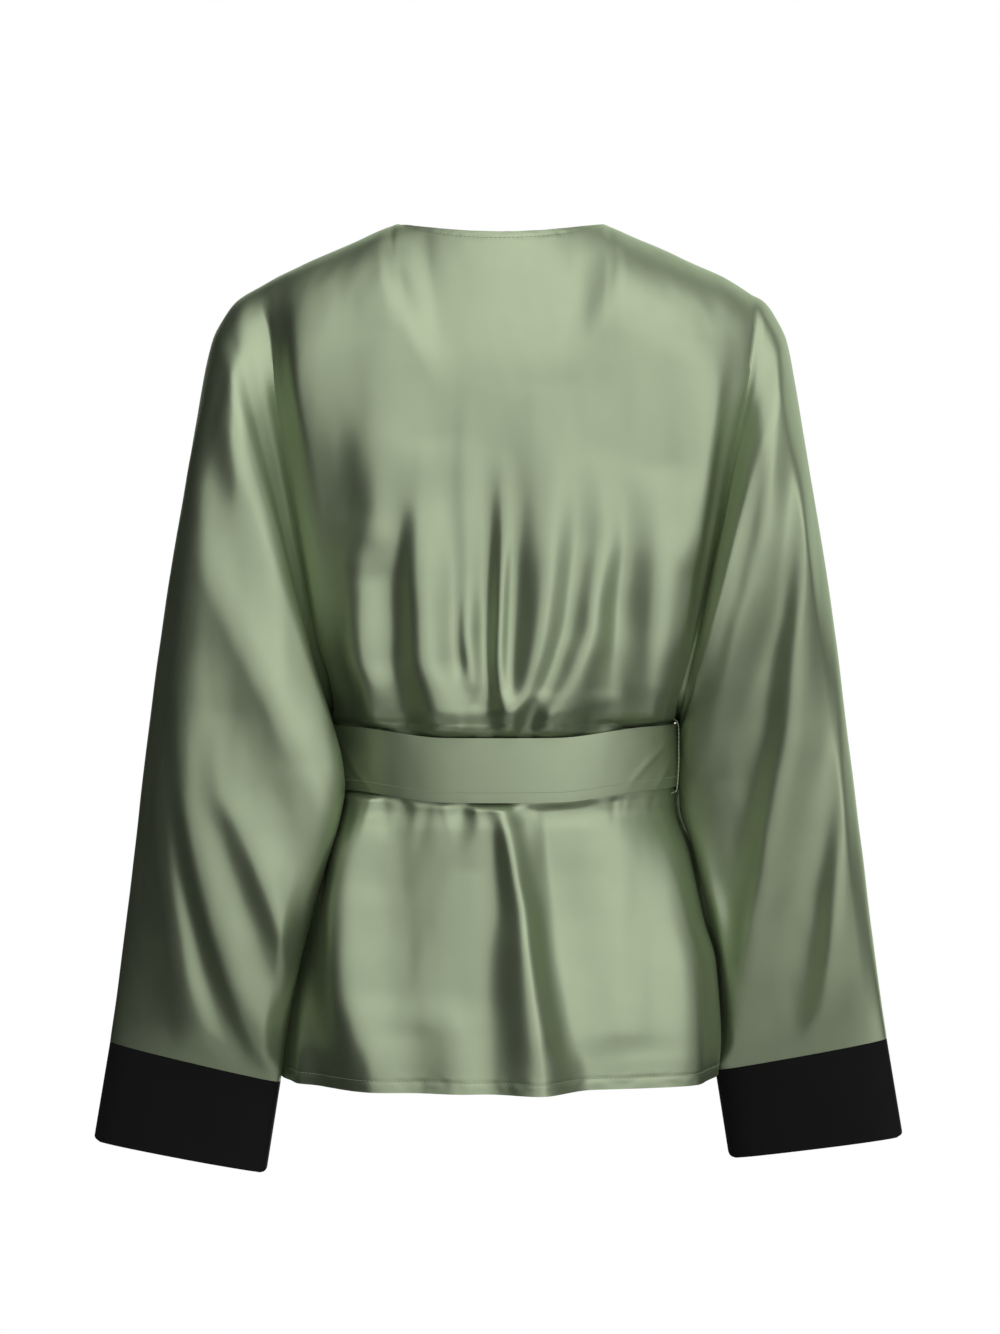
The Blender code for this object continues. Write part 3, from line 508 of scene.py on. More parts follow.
def body_points(x, z, facing, side, top_depth, top_z, neckness, lift):
    depth = section_depth(x, z, body_depth(z, facing), facing, side)
    depth = over_shoulder(depth, top_depth, top_z - z, neckness)
    half = seam_half(z, side)
    side_calm = ease((half - np.abs(x)) / SIDE_CALM)
    lift = lift * side_calm
    across = x / half
    points = np.stack([x, depth, z], axis=-1)
    points[..., 0] += lift * 0.6 * across
    points[..., 1] += lift * facing * np.sqrt(np.maximum(1 - 0.36 * across**2, 0.0))
    return points


def row_heights(top_z, count):
    """Heights of the rows: down to the underarm, then closer together at the belt and the hem."""
    upper = top_z + (UNDERARM_Z - top_z) * cosine_rows(UPPER_ROWS)[:, None]
    spots = (0.0, 0.15, 0.33, 0.57, 0.84, 0.95, 1.0)
    places = (UNDERARM_Z, -428.0, -462.0, -540.0, -632.0, -645.5, HEM_Z)
    lower = through(spots, places, np.arange(1, count + 1) / count)
    return np.concatenate([upper, np.repeat(lower[:, None], len(top_z), axis=1)])


def back_surface():
    k = np.linspace(-BACK_STEPS, BACK_STEPS, BACK_COLUMNS + 1)
    side = np.where(k < 0, -1, 1)
    step = np.abs(k)
    end = shoulder_end(side)
    past_neck = (end - NECK_HALF) * (step - NECK_STEPS) / (BACK_STEPS - NECK_STEPS)
    top_x = np.where(step <= NECK_STEPS, NECK_HALF * step / NECK_STEPS, NECK_HALF + past_neck)
    inside = np.maximum(1 - (top_x / NECK_HALF) ** 2, 0.0)
    top_depth = -GAP / 2 - NECK_DEPTH_BACK * inside**NECK_CURVE
    top_z = np.where(top_x >= NECK_HALF, shoulder_z(top_x), -NECK_DROP_BACK * inside)
    neckness = ease((NECK_HALF + 12 - top_x) / 40)
    z = row_heights(top_z, BACK_LOWER_ROWS)
    lowered = ease((top_z - z) / 120)
    share = (1 - lowered) * top_x / end + lowered * section_share(step / BACK_STEPS, z)
    x = side * share * half_width(z, top_z, side)
    lift = BACK_FOLD_DEPTH * fold_height(BACK_FOLDS, x, z) + swell_height(BACK_SWELLS, x, z)
    for row in BACK_GATHERS:
        lift += gathers(x, z, *row)
    points = body_points(x, z, -1, side, top_depth, top_z, neckness, lift * belt_calm(x, z, -1))
    points[0] = np.stack([side * top_x, top_depth, top_z], axis=-1)
    return points


def front_surface(side):
    u = np.linspace(0, 1, FRONT_COLUMNS + 1)
    end = float(shoulder_end(side))
    top_x = end + (NECK_HALF - end) * u
    top_z = shoulder_z(top_x)
    neckness = ease((u - 0.55) / 0.45)
    z = row_heights(top_z, FRONT_LOWER_ROWS)
    half = half_width(z, top_z, np.array(side))
    edge = through(WRAP_EDGE["z"], WRAP_EDGE["x"], z)
    flat = flatness(z)
    start = math.pi / 2
    turn = np.arcsin(np.clip(edge / half, -1.0, 1.0))
    x = flat * (half + (edge - half) * u) + (1 - flat) * half * np.sin(start + (turn - start) * u)
    x = side * x
    lift = fold_height(FRONT_FOLDS, x, z)
    for row in FRONT_GATHERS:
        lift += gathers(x, z, *row)
    sides = np.where(x < 0, -1, 1)
    points = body_points(x, z, 1, sides, GAP / 2, top_z, neckness, lift * belt_calm(x, z, 1))
    points[..., 1] = np.maximum(points[..., 1], GAP / 2)
    if side < 0:
        points[..., 1] -= WRAP_GAP * ease((side * x + 135) / 25) * ease((top_z - z) / 60)
    points[0] = np.stack([side * top_x, np.full_like(top_x, GAP / 2), top_z], axis=-1)
    return points


# ---- meshes


def grid_normals(points, ring):
    """Unit normals of a grid of points."""
    down = np.diff(points, axis=0)
    if ring:
        across = np.roll(points, -1, axis=1) - points
        faces = np.cross((across[:-1] + across[1:]), down + np.roll(down, -1, axis=1))
        total = np.zeros_like(points)
        total[:-1] += faces
        total[1:] += faces
        total += np.roll(total, 1, axis=1)
    else:
        across = np.diff(points, axis=1)
        faces = np.cross(across[:-1] + across[1:], down[:, :-1] + down[:, 1:])
        total = np.zeros_like(points)
        total[:-1, :-1] += faces
        total[1:, :-1] += faces
        total[:-1, 1:] += faces
        total[1:, 1:] += faces
    return total / np.maximum(np.linalg.norm(total, axis=2, keepdims=True), 1e-12)


def outward(points, ring, centre):
    normals = grid_normals(points, ring)
    return normals if ((points - centre) * normals).sum() > 0 else -normals


def grid_lengths(points):
    """Lengths along the rows and down the columns of a grid of points."""
    side = np.linalg.norm(np.diff(points, axis=1), axis=2)
    drop = np.linalg.norm(np.diff(points, axis=0), axis=2)
    across = np.concatenate([np.zeros((len(points), 1)), np.cumsum(side, axis=1)], axis=1)
    down = np.concatenate([np.zeros((1, points.shape[1])), np.cumsum(drop, axis=0)], axis=0)
    return across, down


def rim_faces(a, b, layer, turn):
    """Quads that close the edge between the outer and the inner grid of a shell."""
    return np.stack([a, a + layer, b + layer, b], axis=-1)[:, ::turn]


def shell(name, outer, inner, ring, material):
    """A closed shell between two grids of points in millimetres, with cloth UVs in metres."""
    rows, columns = outer.shape[:2]
    layer = rows * columns
    last = columns if ring else columns - 1
    r, c = np.meshgrid(np.arange(rows - 1), np.arange(last), indexing="ij")
    a, b = r * columns + c, r * columns + (c + 1) % columns
    d, e = b + columns, a + columns
    outer_faces = np.stack([a, b, d, e], axis=-1).reshape(-1, 4)
    faces = [outer_faces, outer_faces[:, ::-1] + layer]
    c = np.arange(last)
    c2 = (c + 1) % columns
    for row, turn in ((0, 1), (rows - 1, -1)):
        faces.append(rim_faces(row * columns + c, row * columns + c2, layer, turn))
    if not ring:
        r = np.arange(rows - 1) * columns
        for column, turn in ((0, -1), (columns - 1, 1)):
            faces.append(rim_faces(r + column, r + column + columns, layer, turn))
    faces = np.concatenate(faces)
    verts = np.concatenate([outer.reshape(-1, 3), inner.reshape(-1, 3)]) * MM
    across, down = grid_lengths(outer)
    flat = np.stack([across, -down], axis=-1).reshape(-1, 2) * MM
    return make_mesh(name, verts, faces, material, np.concatenate([flat, flat]))


def make_mesh(name, verts, faces, material, flat=None):
    mesh = bpy.data.meshes.new(name)
    mesh.from_pydata(verts.tolist(), [], faces.tolist())
    if flat is not None:
        layer = mesh.uv_layers.new(name="cloth")
        loops = np.empty(len(mesh.loops), dtype=np.int32)
        mesh.loops.foreach_get("vertex_index", loops)
        layer.data.foreach_set("uv", flat[loops].astype(np.float32).ravel())
    mesh.shade_smooth()
    mesh.set_sharp_from_angle(angle=math.radians(60))
    mesh.materials.append(material)
    obj = bpy.data.objects.new(name, mesh)
    bpy.context.scene.collection.objects.link(obj)
    if mesh_volume(verts, faces) < 0:
        mesh.flip_normals()
    return obj


def mesh_volume(verts, faces):
    a, b, c, d = (verts[faces[:, k]] for k in range(4))
    return (np.cross(a, b) * c).sum() + (np.cross(a, c) * d).sum()


def cloth_detail(points, normals, amount, seed):
    """Faint unevenness of cloth that hangs: long soft waves and smaller ones."""
    long_waves = waves(points, LONG_WAVE, seed)
    short_waves = waves(points, SHORT_WAVE, seed + 1)
    out = amount * (LONG_SHARE * long_waves + SHORT_SHARE * short_waves)
    return points + normals * out[..., None]


def edge_distance(points, *edges):
    """Distance in millimetres from the named edges of an open grid, along its rows or columns."""
    across, down = grid_lengths(points)
    away = {"top": down, "bottom": down[-1:] - down, "first": across, "last": across[:, -1:] - across}
    return np.minimum.reduce([away[edge] for edge in edges])


# ---- materials


def fill(tree, node, inputs):
    """Give a node's inputs their values, or link them from the outputs of other nodes."""
    for key, value in inputs.items():
        if isinstance(value, bpy.types.NodeSocket):
            tree.links.new(value, node.inputs[key])
        else:
            node.inputs[key].default_value = value


def add_node(tree, kind, inputs):
    node = tree.nodes.new("ShaderNode" + kind)
    fill(tree, node, inputs)
    return node


def new_material(name, base, roughness):
    material = bpy.data.materials.new(name)
    material.use_nodes = True
    tree = material.node_tree
    shader = tree.nodes["Principled BSDF"]
    fill(tree, shader, {"Base Color": (*base, 1.0), "Roughness": roughness})
    return material, tree, shader


def object_place(tree):
    return add_node(tree, "TexCoord", {}).outputs["Object"]


def cloth_place(tree):
    uv = add_node(tree, "UVMap", {})
    uv.uv_map = "cloth"
    return uv.outputs["UV"]


def noise_at(tree, place, scale, detail):
    return add_node(tree, "TexNoise", {"Vector": place, "Scale": scale, "Detail": detail}).outputs["Fac"]


def stretched_noise(tree, place, stretch, detail):
    """Noise whose grain is drawn out: repeats in a metre along each axis."""
    mapping = add_node(tree, "Mapping", {"Vector": place, "Scale": stretch})
    return noise_at(tree, mapping.outputs["Vector"], 1.0, detail)


def relief(tree, height, strength, depth):
    bump = add_node(tree, "Bump", {"Height": height, "Strength": strength, "Distance": depth})
    return bump.outputs["Normal"]


def uneven(tree, factor, low, high):
    """Roughness a little uneven, as brushed by wear."""
    return add_node(tree, "MapRange", {"Value": factor, "To Min": low, "To Max": high}).outputs["Result"]


def satin_material(name, base):
    """Satin: long floats of the weave across fine threads, and a faint cloudiness of the dye."""
    material, tree, shader = new_material(name, base, 0.47)
    cloud = noise_at(tree, object_place(tree), 14.0, 3.0)
    dye = add_node(tree, "ValToRGB", {"Fac": cloud})
    for stop, position, shade in zip(dye.color_ramp.elements, (0.25, 0.75), (0.94, 1.06)):
        stop.position = position
        stop.color = (*[v * shade for v in base], 1.0)
    cloth = cloth_place(tree)
    weft = add_node(tree, "TexWave", {"Vector": cloth, "Scale": 900.0, "Distortion": 1.2, "Detail": 1.0})
    weft.wave_type = "BANDS"
    weft.bands_direction = "Y"
    floats = stretched_noise(tree, cloth, (500.0, 2600.0, 1.0), 1.0)
    weave = add_node(tree, "Math", {})
    weave.operation = "MULTIPLY_ADD"
    fill(tree, weave, {0: weft.outputs["Fac"], 1: 0.4, 2: floats})
    fill(tree, shader, {
        "Metallic": 0.95,
        "Specular IOR Level": 0.4,
        "Specular Tint": (0.88, 1.0, 0.80, 1.0),
        "Base Color": dye.outputs["Color"],
        "Normal": relief(tree, weave.outputs["Value"], 0.10, 0.0001),
        "Roughness": uneven(tree, cloud, 0.44, 0.48),
    })
    return material


def crepe_material(name, base):
    """Dull black crepe with a fine grain."""
    material, tree, shader = new_material(name, base, 0.72)
    grain = stretched_noise(tree, cloth_place(tree), (1400.0, 1100.0, 1.0), 2.0)
    fill(tree, shader, {
        "Specular IOR Level": 0.12,
        "Sheen Weight": 0.02,
        "Sheen Roughness": 0.5,
        "Normal": relief(tree, grain, 0.25, 0.0002),
        "Roughness": uneven(tree, noise_at(tree, object_place(tree), 22.0, 2.0), 0.66, 0.8),
    })
    return material


def thread_material(name, base):
    """Twisted sewing thread, a shade deeper than the cloth."""
    material, tree, shader = new_material(name, base, 0.6)
    twist = add_node(tree, "TexWave", {"Vector": object_place(tree), "Scale": 700.0})
    twist.bands_direction = "DIAGONAL"
    normal = relief(tree, twist.outputs["Fac"], 0.2, 0.0001)
    fill(tree, shader, {"Metallic": 0.4, "Normal": normal})
    return material


SATIN = satin_material("satin", (0.298, 0.352, 0.238))
CREPE = crepe_material("cuff_black", (0.0028, 0.0028, 0.0028))
THREAD = thread_material("thread", (0.26, 0.31, 0.20))

# ---- sleeves


def ring_shares():
    rows = cosine_rows(UPPER_ROWS)
    shares = np.concatenate([rows, rows[-2:0:-1]])
    facing = np.concatenate([-np.ones(len(rows)), np.ones(len(rows) - 2)])
    return shares, facing


def armhole_ring(back, back_normals, front, front_normals):
    """Ring round the armhole, down the back edge and up the front edge, and the way off it."""
    outer, normals = (
        np.concatenate([[(b[0] + f[0]) / 2], b[1:-1], [(b[-1] + f[-1]) / 2], f[-2:0:-1]])
        for b, f in ((back, front), (back_normals, front_normals))
    )
    tangent = np.roll(outer, -1, axis=0) - np.roll(outer, 1, axis=0)
    away = np.cross(tangent, normals)
    away /= np.linalg.norm(away, axis=1, keepdims=True)
    side = 1 if outer[:, 0].mean() > 0 else -1
    return outer, away if (away[:, 0] * side).sum() > 0 else -away


def sleeve_rings(s, side):
    """Rings at shares s of the sleeve's length: an array of len(s) rows."""
    start = float(shoulder_end(side))
    outer_xz = along(((start, float(shoulder_z(start))),) + OUTER_PATH[1:], s)
    inner_xz = along(INNER_PATH[side], s)
    word = "left" if side < 0 else "right"
    keys = ("outer_" + word, "inner_" + word, "back", "front", "inward")
    outer_y, inner_y, back, front, inward = (through(SLEEVE["s"], SLEEVE[key], s) for key in keys)
    shares, facing = ring_shares()
    late = (1 + 5 * (1 - ease(s / 0.35)))[:, None]
    opened = ease(s / 0.3)[:, None]
    full = 0.5 + (SLEEVE_FULLNESS - 0.5) * opened
    round_form = np.maximum(4 * shares * (1 - shares), 0.0)[None] ** full
    swell = round_form * (1 + 0.25 * (0.5 - shares)[None] * opened)
    deep = np.where(facing < 0, back[:, None], front[:, None])
    x = side * (outer_xz[:, 0:1] + (inner_xz[:, 0:1] - outer_xz[:, 0:1]) * shares)
    z = outer_xz[:, 1:2] + (inner_xz[:, 1:2] - outer_xz[:, 1:2]) * shares
    y = outer_y[:, None] + (inner_y - outer_y)[:, None] * shares**late + facing * swell * deep
    x = x - side * inward[:, None] * swell
    return np.stack([x, y, z], axis=-1)


def clear_of_body(points, clearance):
    x, y, z = points[..., 0], points[..., 1], points[..., 2]
    side = np.where(x < 0, -1, 1)
    facing = np.where(y < 0, -1, 1)
    depth = body_depth(z, facing)
    half = seam_half(z, side)
    reach = np.hypot(x / (half + clearance), y / (depth + clearance))
    low = z < UNDERARM_Z + 4
    shrink = np.where(low & (reach < 1), np.maximum(reach, 1e-6), 1.0)
    least = np.abs(section_depth(x, z, depth, facing, side)) + clearance * 0.6
    high = ~low & (np.abs(x) < half)
    moved = points.copy()
    moved[..., 0] = x / shrink
    moved[..., 1] = np.where(high, facing * np.maximum(np.abs(y), least), y / shrink)
    return moved


def sleeve_surface(seam_outer, away, side):
    strip = seam_outer + SEAM_STRIP * away
    s = np.concatenate([np.linspace(0.0, 0.12, 26)[1:], np.linspace(0.12, 1.0, SLEEVE_ROWS - 25)[1:]])
    from_seam = strip - sleeve_rings(np.array([0.0]), side)[0]
    hold = ((1 - np.minimum(s / 0.30, 1.0)) ** 2)[:, None, None]
    rings = sleeve_rings(s, side) + from_seam * hold
    shares, facing = ring_shares()
    calm_round = ease(shares / 0.12) * ease((1 - shares) / 0.12)
    calm_along = ease(s / 0.12) * ease((1 - s) / 0.08 + 0.15)
    calm = calm_round[None] * calm_along[:, None]
    x, z = np.abs(rings[..., 0]), rings[..., 2]
    behind = fold_height(SLEEVE_FOLDS_BACK[side], x, z)
    ahead = fold_height(SLEEVE_FOLDS_FRONT[side], x, z)
    lift = np.where(facing < 0, behind, ahead)
    rings[..., 1] += SLEEVE_FOLD_DEPTH * facing * calm * lift
    rings = clear_of_body(rings, SLEEVE_CLEARANCE)
    return np.concatenate([[seam_outer + SLEEVE_GAP * away, strip], rings])


def cuff_surface(side, sleeve_end):
    """Rings of a cuff below the sleeve's end, its lower corners rounded."""
    shares = ring_shares()[0][:, None]
    (top_out, top_in), (end_out, end_in) = np.array(CUFF_TOP), np.array(CUFF_END)
    fall = end_out + (end_in - end_out) * shares - top_out - (top_in - top_out) * shares
    t = np.concatenate([np.linspace(0, 0.92, 22), np.linspace(0.93, 1.0, 12)])[:, None]
    rings = np.repeat((sleeve_end - np.array([0.0, 0.0, CUFF_GAP]))[None], len(t), axis=0)
    rings[..., 0] += side * t * fall[:, 0]
    rings[..., 2] += t * fall[:, 1]
    to_end = (1 - t) * np.linalg.norm(fall, axis=1)
    near = np.clip(1 - to_end / CUFF_CORNER, 0, 1)
    corner = 1 - ease(np.minimum(shares, 1 - shares)[:, 0] / 0.05)
    inset = CUFF_CORNER * (1 - np.sqrt(1 - near**2)) * corner
    rings[..., 0] -= side * inset * np.sign(0.5 - shares[:, 0])
    return rings


# ---- belt, knot and hanging ends


def belt_surface(off, rows=26, columns=300):
    """The belt round the waist: a soft band, a little wavy, creased where it turns at the sides."""
    angle = np.linspace(0, 2 * math.pi, columns, endpoint=False)
    across, ahead = -np.cos(angle), -np.sin(angle)
    depth = np.where(ahead < 0, WAIST_BACK, WAIST_FRONT)
    clear = np.where(ahead < 0, BELT_CLEAR[-1], BELT_CLEAR[1]) + off
    x, y = WAIST_HALF * across, depth * ahead
    out = np.stack([x / WAIST_HALF**2, y / depth**2], axis=-1)
    out /= np.linalg.norm(out, axis=1, keepdims=True)
    down = np.linspace(0, 1, rows)[:, None]
    z = BELT_TOP_Z - BELT_HEIGHT * down + belt_level(x, y)[None]
    place = np.stack(np.broadcast_arrays(x, y, z), axis=-1)
    lift = 0.5 * (1 + waves(place, (46, 46, 90), 31)) + 0.2 * waves(place, (14, 14, 26), 32)
    lift += BELT_LEAN * (1 - down) + 0.5 * np.sin(math.pi * down) ** 0.7
    behind = np.where(y < 0, 1.0, 0.6)[None]
    for middle, height, slant, width, deep in BELT_CREASES:
        line = x[None] - middle - slant * (z - BELT_TOP_Z - height)
        fade = np.exp(-(((z - BELT_TOP_Z - height) / BELT_CREASE_LENGTH) ** 2))
        lift += behind * deep * fade * np.exp(-((line / width) ** 2))
    push = clear[None] + lift
    return np.stack([x + out[:, 0] * push, y + out[:, 1] * push, z], axis=-1)


def knot_rings(centre, rows=70, columns=120):
    """Rings round the knot, from its left to its right: a gathered band wrapped over itself."""
    turn = np.radians(np.linspace(-KNOT_TURN, KNOT_TURN, rows))[:, None]
    angle = np.linspace(0, 2 * math.pi, columns, endpoint=False)[None]
    width, depth = np.cos(turn) * np.cos(angle), np.cos(turn) * np.sin(angle)
    way = np.stack([np.sin(turn) + 0 * angle, width, depth], axis=-1)
    way /= ((np.abs(way) ** KNOT_SQUARENESS).sum(axis=-1) ** (1 / KNOT_SQUARENESS))[..., None]
    points = way * np.array(KNOT_HALF)
    pleats = 0.75 * waves(points, (4.2, 40, 40), 41) + 0.5 * waves(points, (8, 30, 22), 42)
    over = 1.1 * ease((points[..., 0] - 0.45 * points[..., 2]) / 3.0) - 0.55
    points = points * (1 + (pleats + over - 0.6) / 18)[..., None]
    return points + np.array(centre)


def belt_end_surface(side, top_y, top_z, rows=96, columns=40):
    """A hanging end of the belt: pleated at the knot, then fanned out flat with a slow wave."""
    t = np.linspace(0, 1, rows)[:, None]
    across = np.linspace(-1, 1, columns)[None]
    fanned = ease(t / BELT_END_FAN)
    half = BELT_END_WIDTH / 2 * (BELT_END_GATHER + (1 - BELT_END_GATHER) * fanned)
    middle = side * (BELT_END_AT_KNOT + BELT_END_FAN_OUT * fanned + BELT_END_LEAN * t)
    z = top_z - BELT_END_LENGTH * t
    body_y = body_depth(z, 1) + BELT_END_OFF_BODY + 4 * t
    y = top_y + (body_y - top_y) * ease(t / 0.4)
    pleats = (1 - ease(t / 0.5)) * np.cos(across * math.pi * 3 + 0.8 * side)
    bend = 1.6 * np.sin(across * 2.1 + 3.0 * t + side) * ease(t / 0.3)
    x = middle + across * half
    return np.stack([x, y + pleats + bend, z - 3 * side * across * t], axis=-1)


# ---- sewing


def loft_faces(rows, columns, base=0):
    """Quads of a closed loft of rings, with both ends filled; columns is even."""
    faces = []
    for r in range(rows - 1):
        for c in range(columns):
            c2 = (c + 1) % columns
            a = base + r * columns
            faces.append((a + c, a + c2, a + c2 + columns, a + c + columns))
    last = base + (rows - 1) * columns
    for i in range(1, columns - 2, 2):
        faces.append((base, base + i + 2, base + i + 1, base + i))
        faces.append((last, last + i, last + i + 1, last + i + 2))
    return faces


def between(at, keys, points):
    """The point between points in a row, at a key."""
    return np.array([np.interp(at, keys, points[:, k]) for k in range(3)])


def line_at(points, normals, away, at):
    """Points and normals of the line at a distance from the last row of a grid."""
    columns = range(points.shape[1])
    return [
        np.array([between(at, away[::-1, c], grid[::-1, c]) for c in columns]) for grid in (points, normals)
    ]


def thread_ring(centre, radius, across, up, sides):
    angles = [k * math.pi / (sides / 2) for k in range(sides)]
    return [centre + radius * (math.cos(a) * across + math.sin(a) * up) for a in angles]


def thread_piece(name, verts, faces):
    obj = make_mesh(name, np.array(verts) * MM, np.array(faces), THREAD)
    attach(obj, "root")


def stitches(name, line, out):
    """A row of short stitches of thread along a line in millimetres, with its way out of the cloth."""
    lengths = path_lengths(line)
    count = int(lengths[-1] / STITCH_PITCH)
    verts, faces = [], []
    for i in range(count):
        middle = (i + 0.5) * lengths[-1] / count
        start, end = (between(middle + k * STITCH_LENGTH / 2, lengths, line) for k in (-1, 1))
        up = between(middle, lengths, out)
        up /= np.linalg.norm(up)
        ahead = (end - start) / np.linalg.norm(end - start)
        across = np.cross(ahead, up)
        base = len(verts)
        for share, size, rise in STITCH_RINGS:
            centre = start + (end - start) * share + up * rise
            verts += thread_ring(centre, STITCH_RADIUS * size, across, up, STITCH_SIDES)
        faces += loft_faces(len(STITCH_RINGS), STITCH_SIDES, base)
    thread_piece(name, verts, faces)


def belt_loop(name, side):
    """A thread loop that carries the belt at the side, chained like a crochet cord."""
    y = -WAIST_BACK * math.sqrt(1 - (LOOP_X / WAIST_HALF) ** 2)
    out = np.array([LOOP_X / WAIST_HALF**2, y / WAIST_BACK**2, 0.0])
    out /= np.linalg.norm(out)
    level = float(belt_level(LOOP_X, y))
    low, high = BELT_TOP_Z - BELT_HEIGHT + level - 5, BELT_TOP_Z + level + 4
    # height of the thread and how far it stands off the body
    route = (
        (low, 0.6), (low + 2, 4.6), (low + 9, 5.8), ((low + high) / 2, 6.6),
        (high - 8, 6.6), (high - 2, 5.2), (high, 0.6),
    )
    path = [(LOOP_X + out[0] * off, y + out[1] * off, z) for z, off in route]
    middle = along(path, np.linspace(0, 1, LOOP_RINGS))
    ahead = np.gradient(middle, axis=0)
    ahead /= np.linalg.norm(ahead, axis=1, keepdims=True)
    across = np.array([out[1], -out[0], 0.0])
    rings = []
    for i, (point, way) in enumerate(zip(middle, ahead)):
        up = np.cross(way, across)
        size = LOOP_RADIUS * (1 + LOOP_LUMP * math.sin(i * LOOP_LUMP_PITCH))
        rings += thread_ring(point, size, across, up, LOOP_SIDES)
    thread_piece(name, np.array(rings) * np.array([side, 1, 1]), loft_faces(LOOP_RINGS, LOOP_SIDES))


def edge_finish(points, normals, away, at, seed):
    """The groove of a stitched fold at a distance from an edge, and small puckers between."""
    groove = -GROOVE_DEPTH * np.exp(-(((away - at) / GROOVE_WIDTH) ** 2))
    fade = np.exp(-(((away - 0.7 * at) / (0.8 * at)) ** 2))
    pucker = PUCKER * waves(points, PUCKER_WAVE, seed) * fade
    return points + normals * (groove + pucker)[..., None]


# ---- build the cloth pieces

INSIDE = np.array([0.0, 0.0, -300.0])
SIDES = ((-1, "left"), (1, "right"))


def add_piece(node, obj):
    """A piece that shows in place of a node of the solids."""
    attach(obj, "root")
    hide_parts(node)


back = back_surface()
back_normals = outward(back, False, INSIDE)
calm = ease(edge_distance(back, "top", "first", "last") / EDGE_CALM)
back_fine = back + (cloth_detail(back, back_normals, 1.0, 1) - back) * calm[..., None]
hem_away = edge_distance(back, "bottom")
top_away = edge_distance(back, "top")
neck_away = top_away + 60 * ease((np.abs(back[..., 0]) - NECK_HALF + 6) / 10)
back_fine = edge_finish(back_fine, back_normals, hem_away, HEM_STITCH_UP, 51)
back_fine = edge_finish(back_fine, back_normals, neck_away, EDGE_STITCH_IN, 52)
back_fine_normals = outward(back_fine, False, INSIDE)
back_inner = back_fine - back_fine_normals * CLOTH
add_piece("back", shell("back_cloth", back_fine, back_inner, False, SATIN))
stitches("hem_stitches_back", *line_at(back_fine, back_fine_normals, hem_away, HEM_STITCH_UP))
neck = np.abs(back[0, :, 0]) < NECK_HALF - 1
neck_grids = [grid[::-1, neck] for grid in (back_fine, back_fine_normals, top_away)]
stitches("neck_stitches_back", *line_at(*neck_grids, EDGE_STITCH_IN))

for side, word in SIDES:
    front = front_surface(side)
    normals = outward(front, False, INSIDE)
    calm = ease(edge_distance(front, "top", "first") / EDGE_CALM)
    fine = front + (cloth_detail(front, normals, 1.0, 5 + side) - front) * calm[..., None]
    hem_away = edge_distance(front, "bottom")
    wrap_away = edge_distance(front, "last")
    fine = edge_finish(fine, normals, hem_away, HEM_STITCH_UP, 53 + side)
    fine = edge_finish(fine, normals, wrap_away, EDGE_STITCH_IN, 56 + side)
    fine_normals = outward(fine, False, INSIDE)
    inner = fine - fine_normals * CLOTH
    add_piece("front_" + word, shell("front_cloth_" + word, fine, inner, False, SATIN))
    stitches("hem_stitches_front_" + word, *line_at(fine, fine_normals, hem_away, HEM_STITCH_UP))
    wrap_grids = [grid.swapaxes(0, 1) for grid in (fine, fine_normals, wrap_away)]
    stitches("wrap_stitches_" + word, *line_at(*wrap_grids, EDGE_STITCH_IN))
    column = 0 if side < 0 else -1
    back_edge = [grid[: UPPER_ROWS + 1, column] for grid in (back, back_normals)]
    front_edge = [grid[: UPPER_ROWS + 1, 0] for grid in (front, normals)]
    seam_outer, away = armhole_ring(*back_edge, *front_edge)
    rings = sleeve_surface(seam_outer, away, side)
    centre = rings.mean(axis=1, keepdims=True)
    ring_normals = outward(rings, True, centre)
    t = np.linspace(0, 1, len(rings))
    calm = (ease(t / 0.06) * ease((1 - t) / 0.04))[:, None, None]
    fine = rings + (cloth_detail(rings, ring_normals, 1.1, 9 + side) - rings) * calm
    inner = fine - outward(fine, True, centre) * CLOTH
    add_piece("sleeve_" + word, shell("sleeve_cloth_" + word, fine, inner, True, SATIN))
    cuff = cuff_surface(side, rings[-1])
    centre = cuff.mean(axis=1, keepdims=True)
    inner = cuff - outward(cuff, True, centre) * CUFF_CLOTH
    add_piece("cuff_" + word, shell("cuff_band_" + word, cuff, inner, True, CREPE))

belt_outer = belt_surface(BELT_CLOTH)
belt_inner = belt_surface(0.0)
add_piece("belt", shell("belt_band", belt_outer, belt_inner, True, SATIN))
belt_normals = outward(belt_outer, True, belt_outer.mean(axis=1, keepdims=True))
row = round((len(belt_outer) - 1) * (1 - BELT_STITCH_UP / BELT_HEIGHT))
closed = np.r_[0 : belt_outer.shape[1], 0]
stitches("belt_stitches", belt_outer[row, closed], belt_normals[row, closed])
for side, word in SIDES:
    belt_loop("belt_loop_" + word, side)

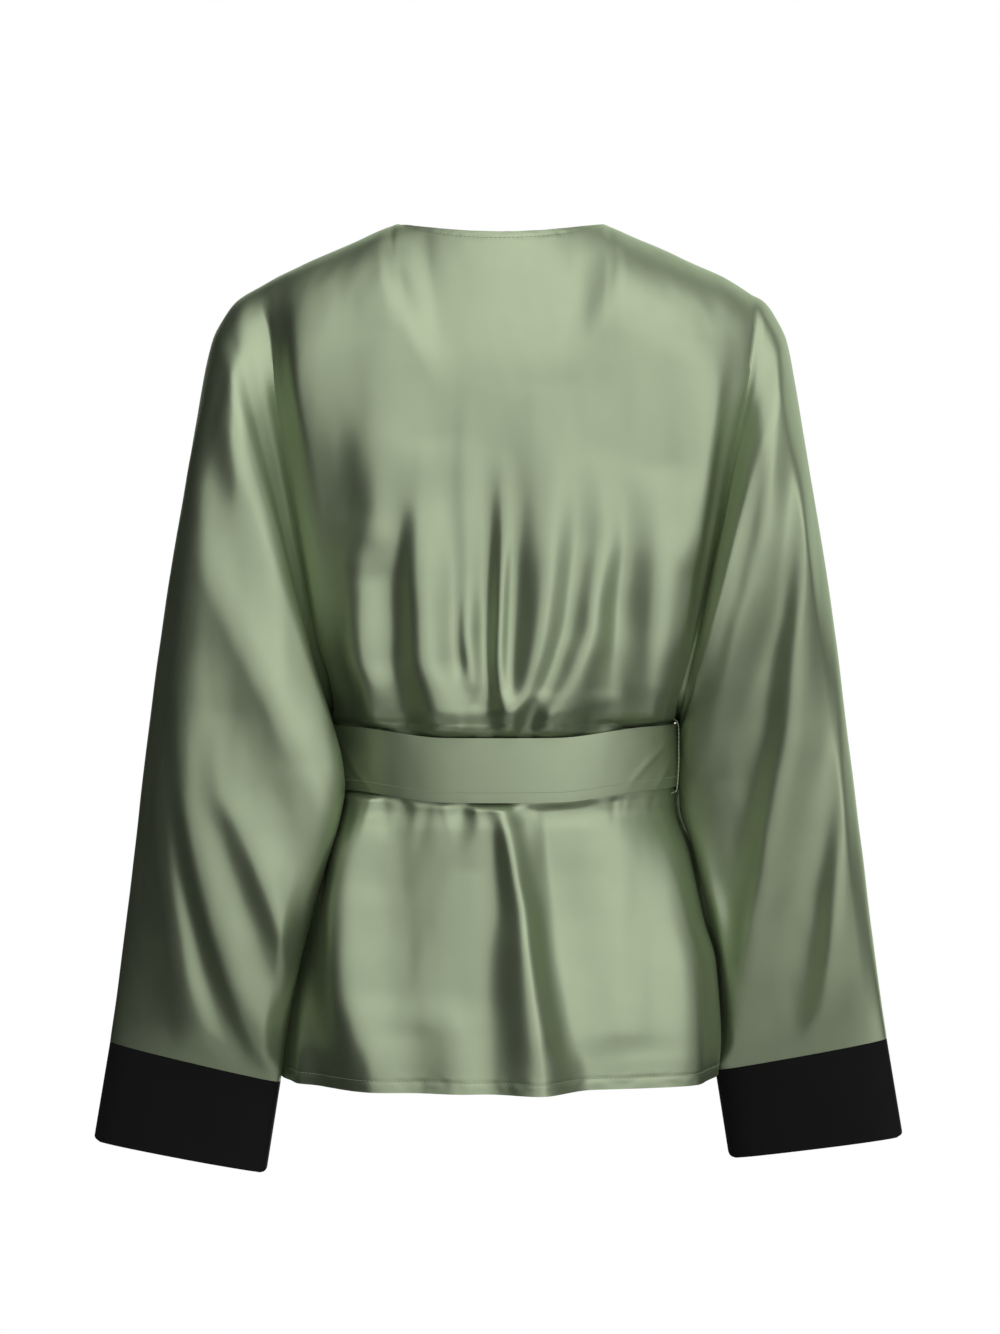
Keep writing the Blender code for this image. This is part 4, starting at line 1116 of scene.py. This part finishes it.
belt_middle_z = BELT_TOP_Z - BELT_HEIGHT / 2 + BELT_TILT * WAIST_FRONT
knot_y = WAIST_FRONT + BELT_CLEAR[1] + BELT_CLOTH + KNOT_OFF_BELT + KNOT_HALF[1]
knot = knot_rings((0.0, knot_y, belt_middle_z))
knot_flat = knot[..., [0, 2]].reshape(-1, 2) * MM
knot_faces = np.array(loft_faces(*knot.shape[:2]))
knot_obj = make_mesh("belt_knot_cloth", knot.reshape(-1, 3) * MM, knot_faces, SATIN, knot_flat)
add_piece("belt_knot", knot_obj)
for side, word in SIDES:
    end = belt_end_surface(side, knot_y, belt_middle_z - KNOT_HALF[2] - 0.3)
    end_normals = grid_normals(end, False)
    end_normals *= np.sign(end_normals[..., 1].sum())
    inner = end - end_normals * BELT_CLOTH
    add_piece("belt_end_" + word, shell("belt_end_cloth_" + word, end, inner, False, SATIN))

# ---- floor, lights and backdrop, in metres

FLOOR_HALF = 1.3
FLOOR_Z = -1.8
WHITE = (1.0, 1.0, 1.0, 1.0)
BACKDROP_LIGHT = 0.015
# Lights: name, direction it comes from, angle in degrees, strength
LIGHTS = (
    ("key", (0.18, -1.0, 0.40), 103.0, 2.06),
    ("top", (0.0, -0.35, 1.0), 76.0, 1.1),
    ("side", (1.0, -0.6, 0.25), 80.0, 0.75),
    ("front", (0.35, 1.0, 0.30), 80.0, 1.6),
)


def soft_sun(name, direction, angle, strength):
    """A very broad, soft light from a direction."""
    light = bpy.data.lights.new(name, "SUN")
    light.angle = math.radians(angle)
    light.energy = strength
    obj = bpy.data.objects.new(name, light)
    bpy.context.scene.collection.objects.link(obj)
    obj.rotation_euler = (-Vector(direction)).to_track_quat("-Z", "Y").to_euler()


def make_floor():
    corners = ((-1, -1), (1, -1), (1, 1), (-1, 1))
    verts = np.array([(FLOOR_HALF * x, FLOOR_HALF * y, FLOOR_Z) for x, y in corners])
    pale = new_material("floor", (0.60, 0.60, 0.59), 0.9)[0]
    make_mesh("floor", verts, np.array([[0, 1, 2, 3]]), pale)


def make_world():
    """White behind the top for the camera; on the cloth it gives only a trace of light."""
    world = bpy.data.worlds.new("studio")
    world.use_nodes = True
    bpy.context.scene.world = world
    tree = world.node_tree
    tree.nodes.clear()
    lit, seen = (
        add_node(tree, "Background", {"Color": WHITE, "Strength": strength}).outputs["Background"]
        for strength in (BACKDROP_LIGHT, 1.0)
    )
    ray = add_node(tree, "LightPath", {}).outputs["Is Camera Ray"]
    mix = add_node(tree, "MixShader", {"Fac": ray, 1: lit, 2: seen})
    add_node(tree, "OutputWorld", {"Surface": mix.outputs["Shader"]})


make_floor()
make_world()
for light_row in LIGHTS:
    soft_sun(*light_row)
bpy.context.scene.view_settings.view_transform = "Standard"
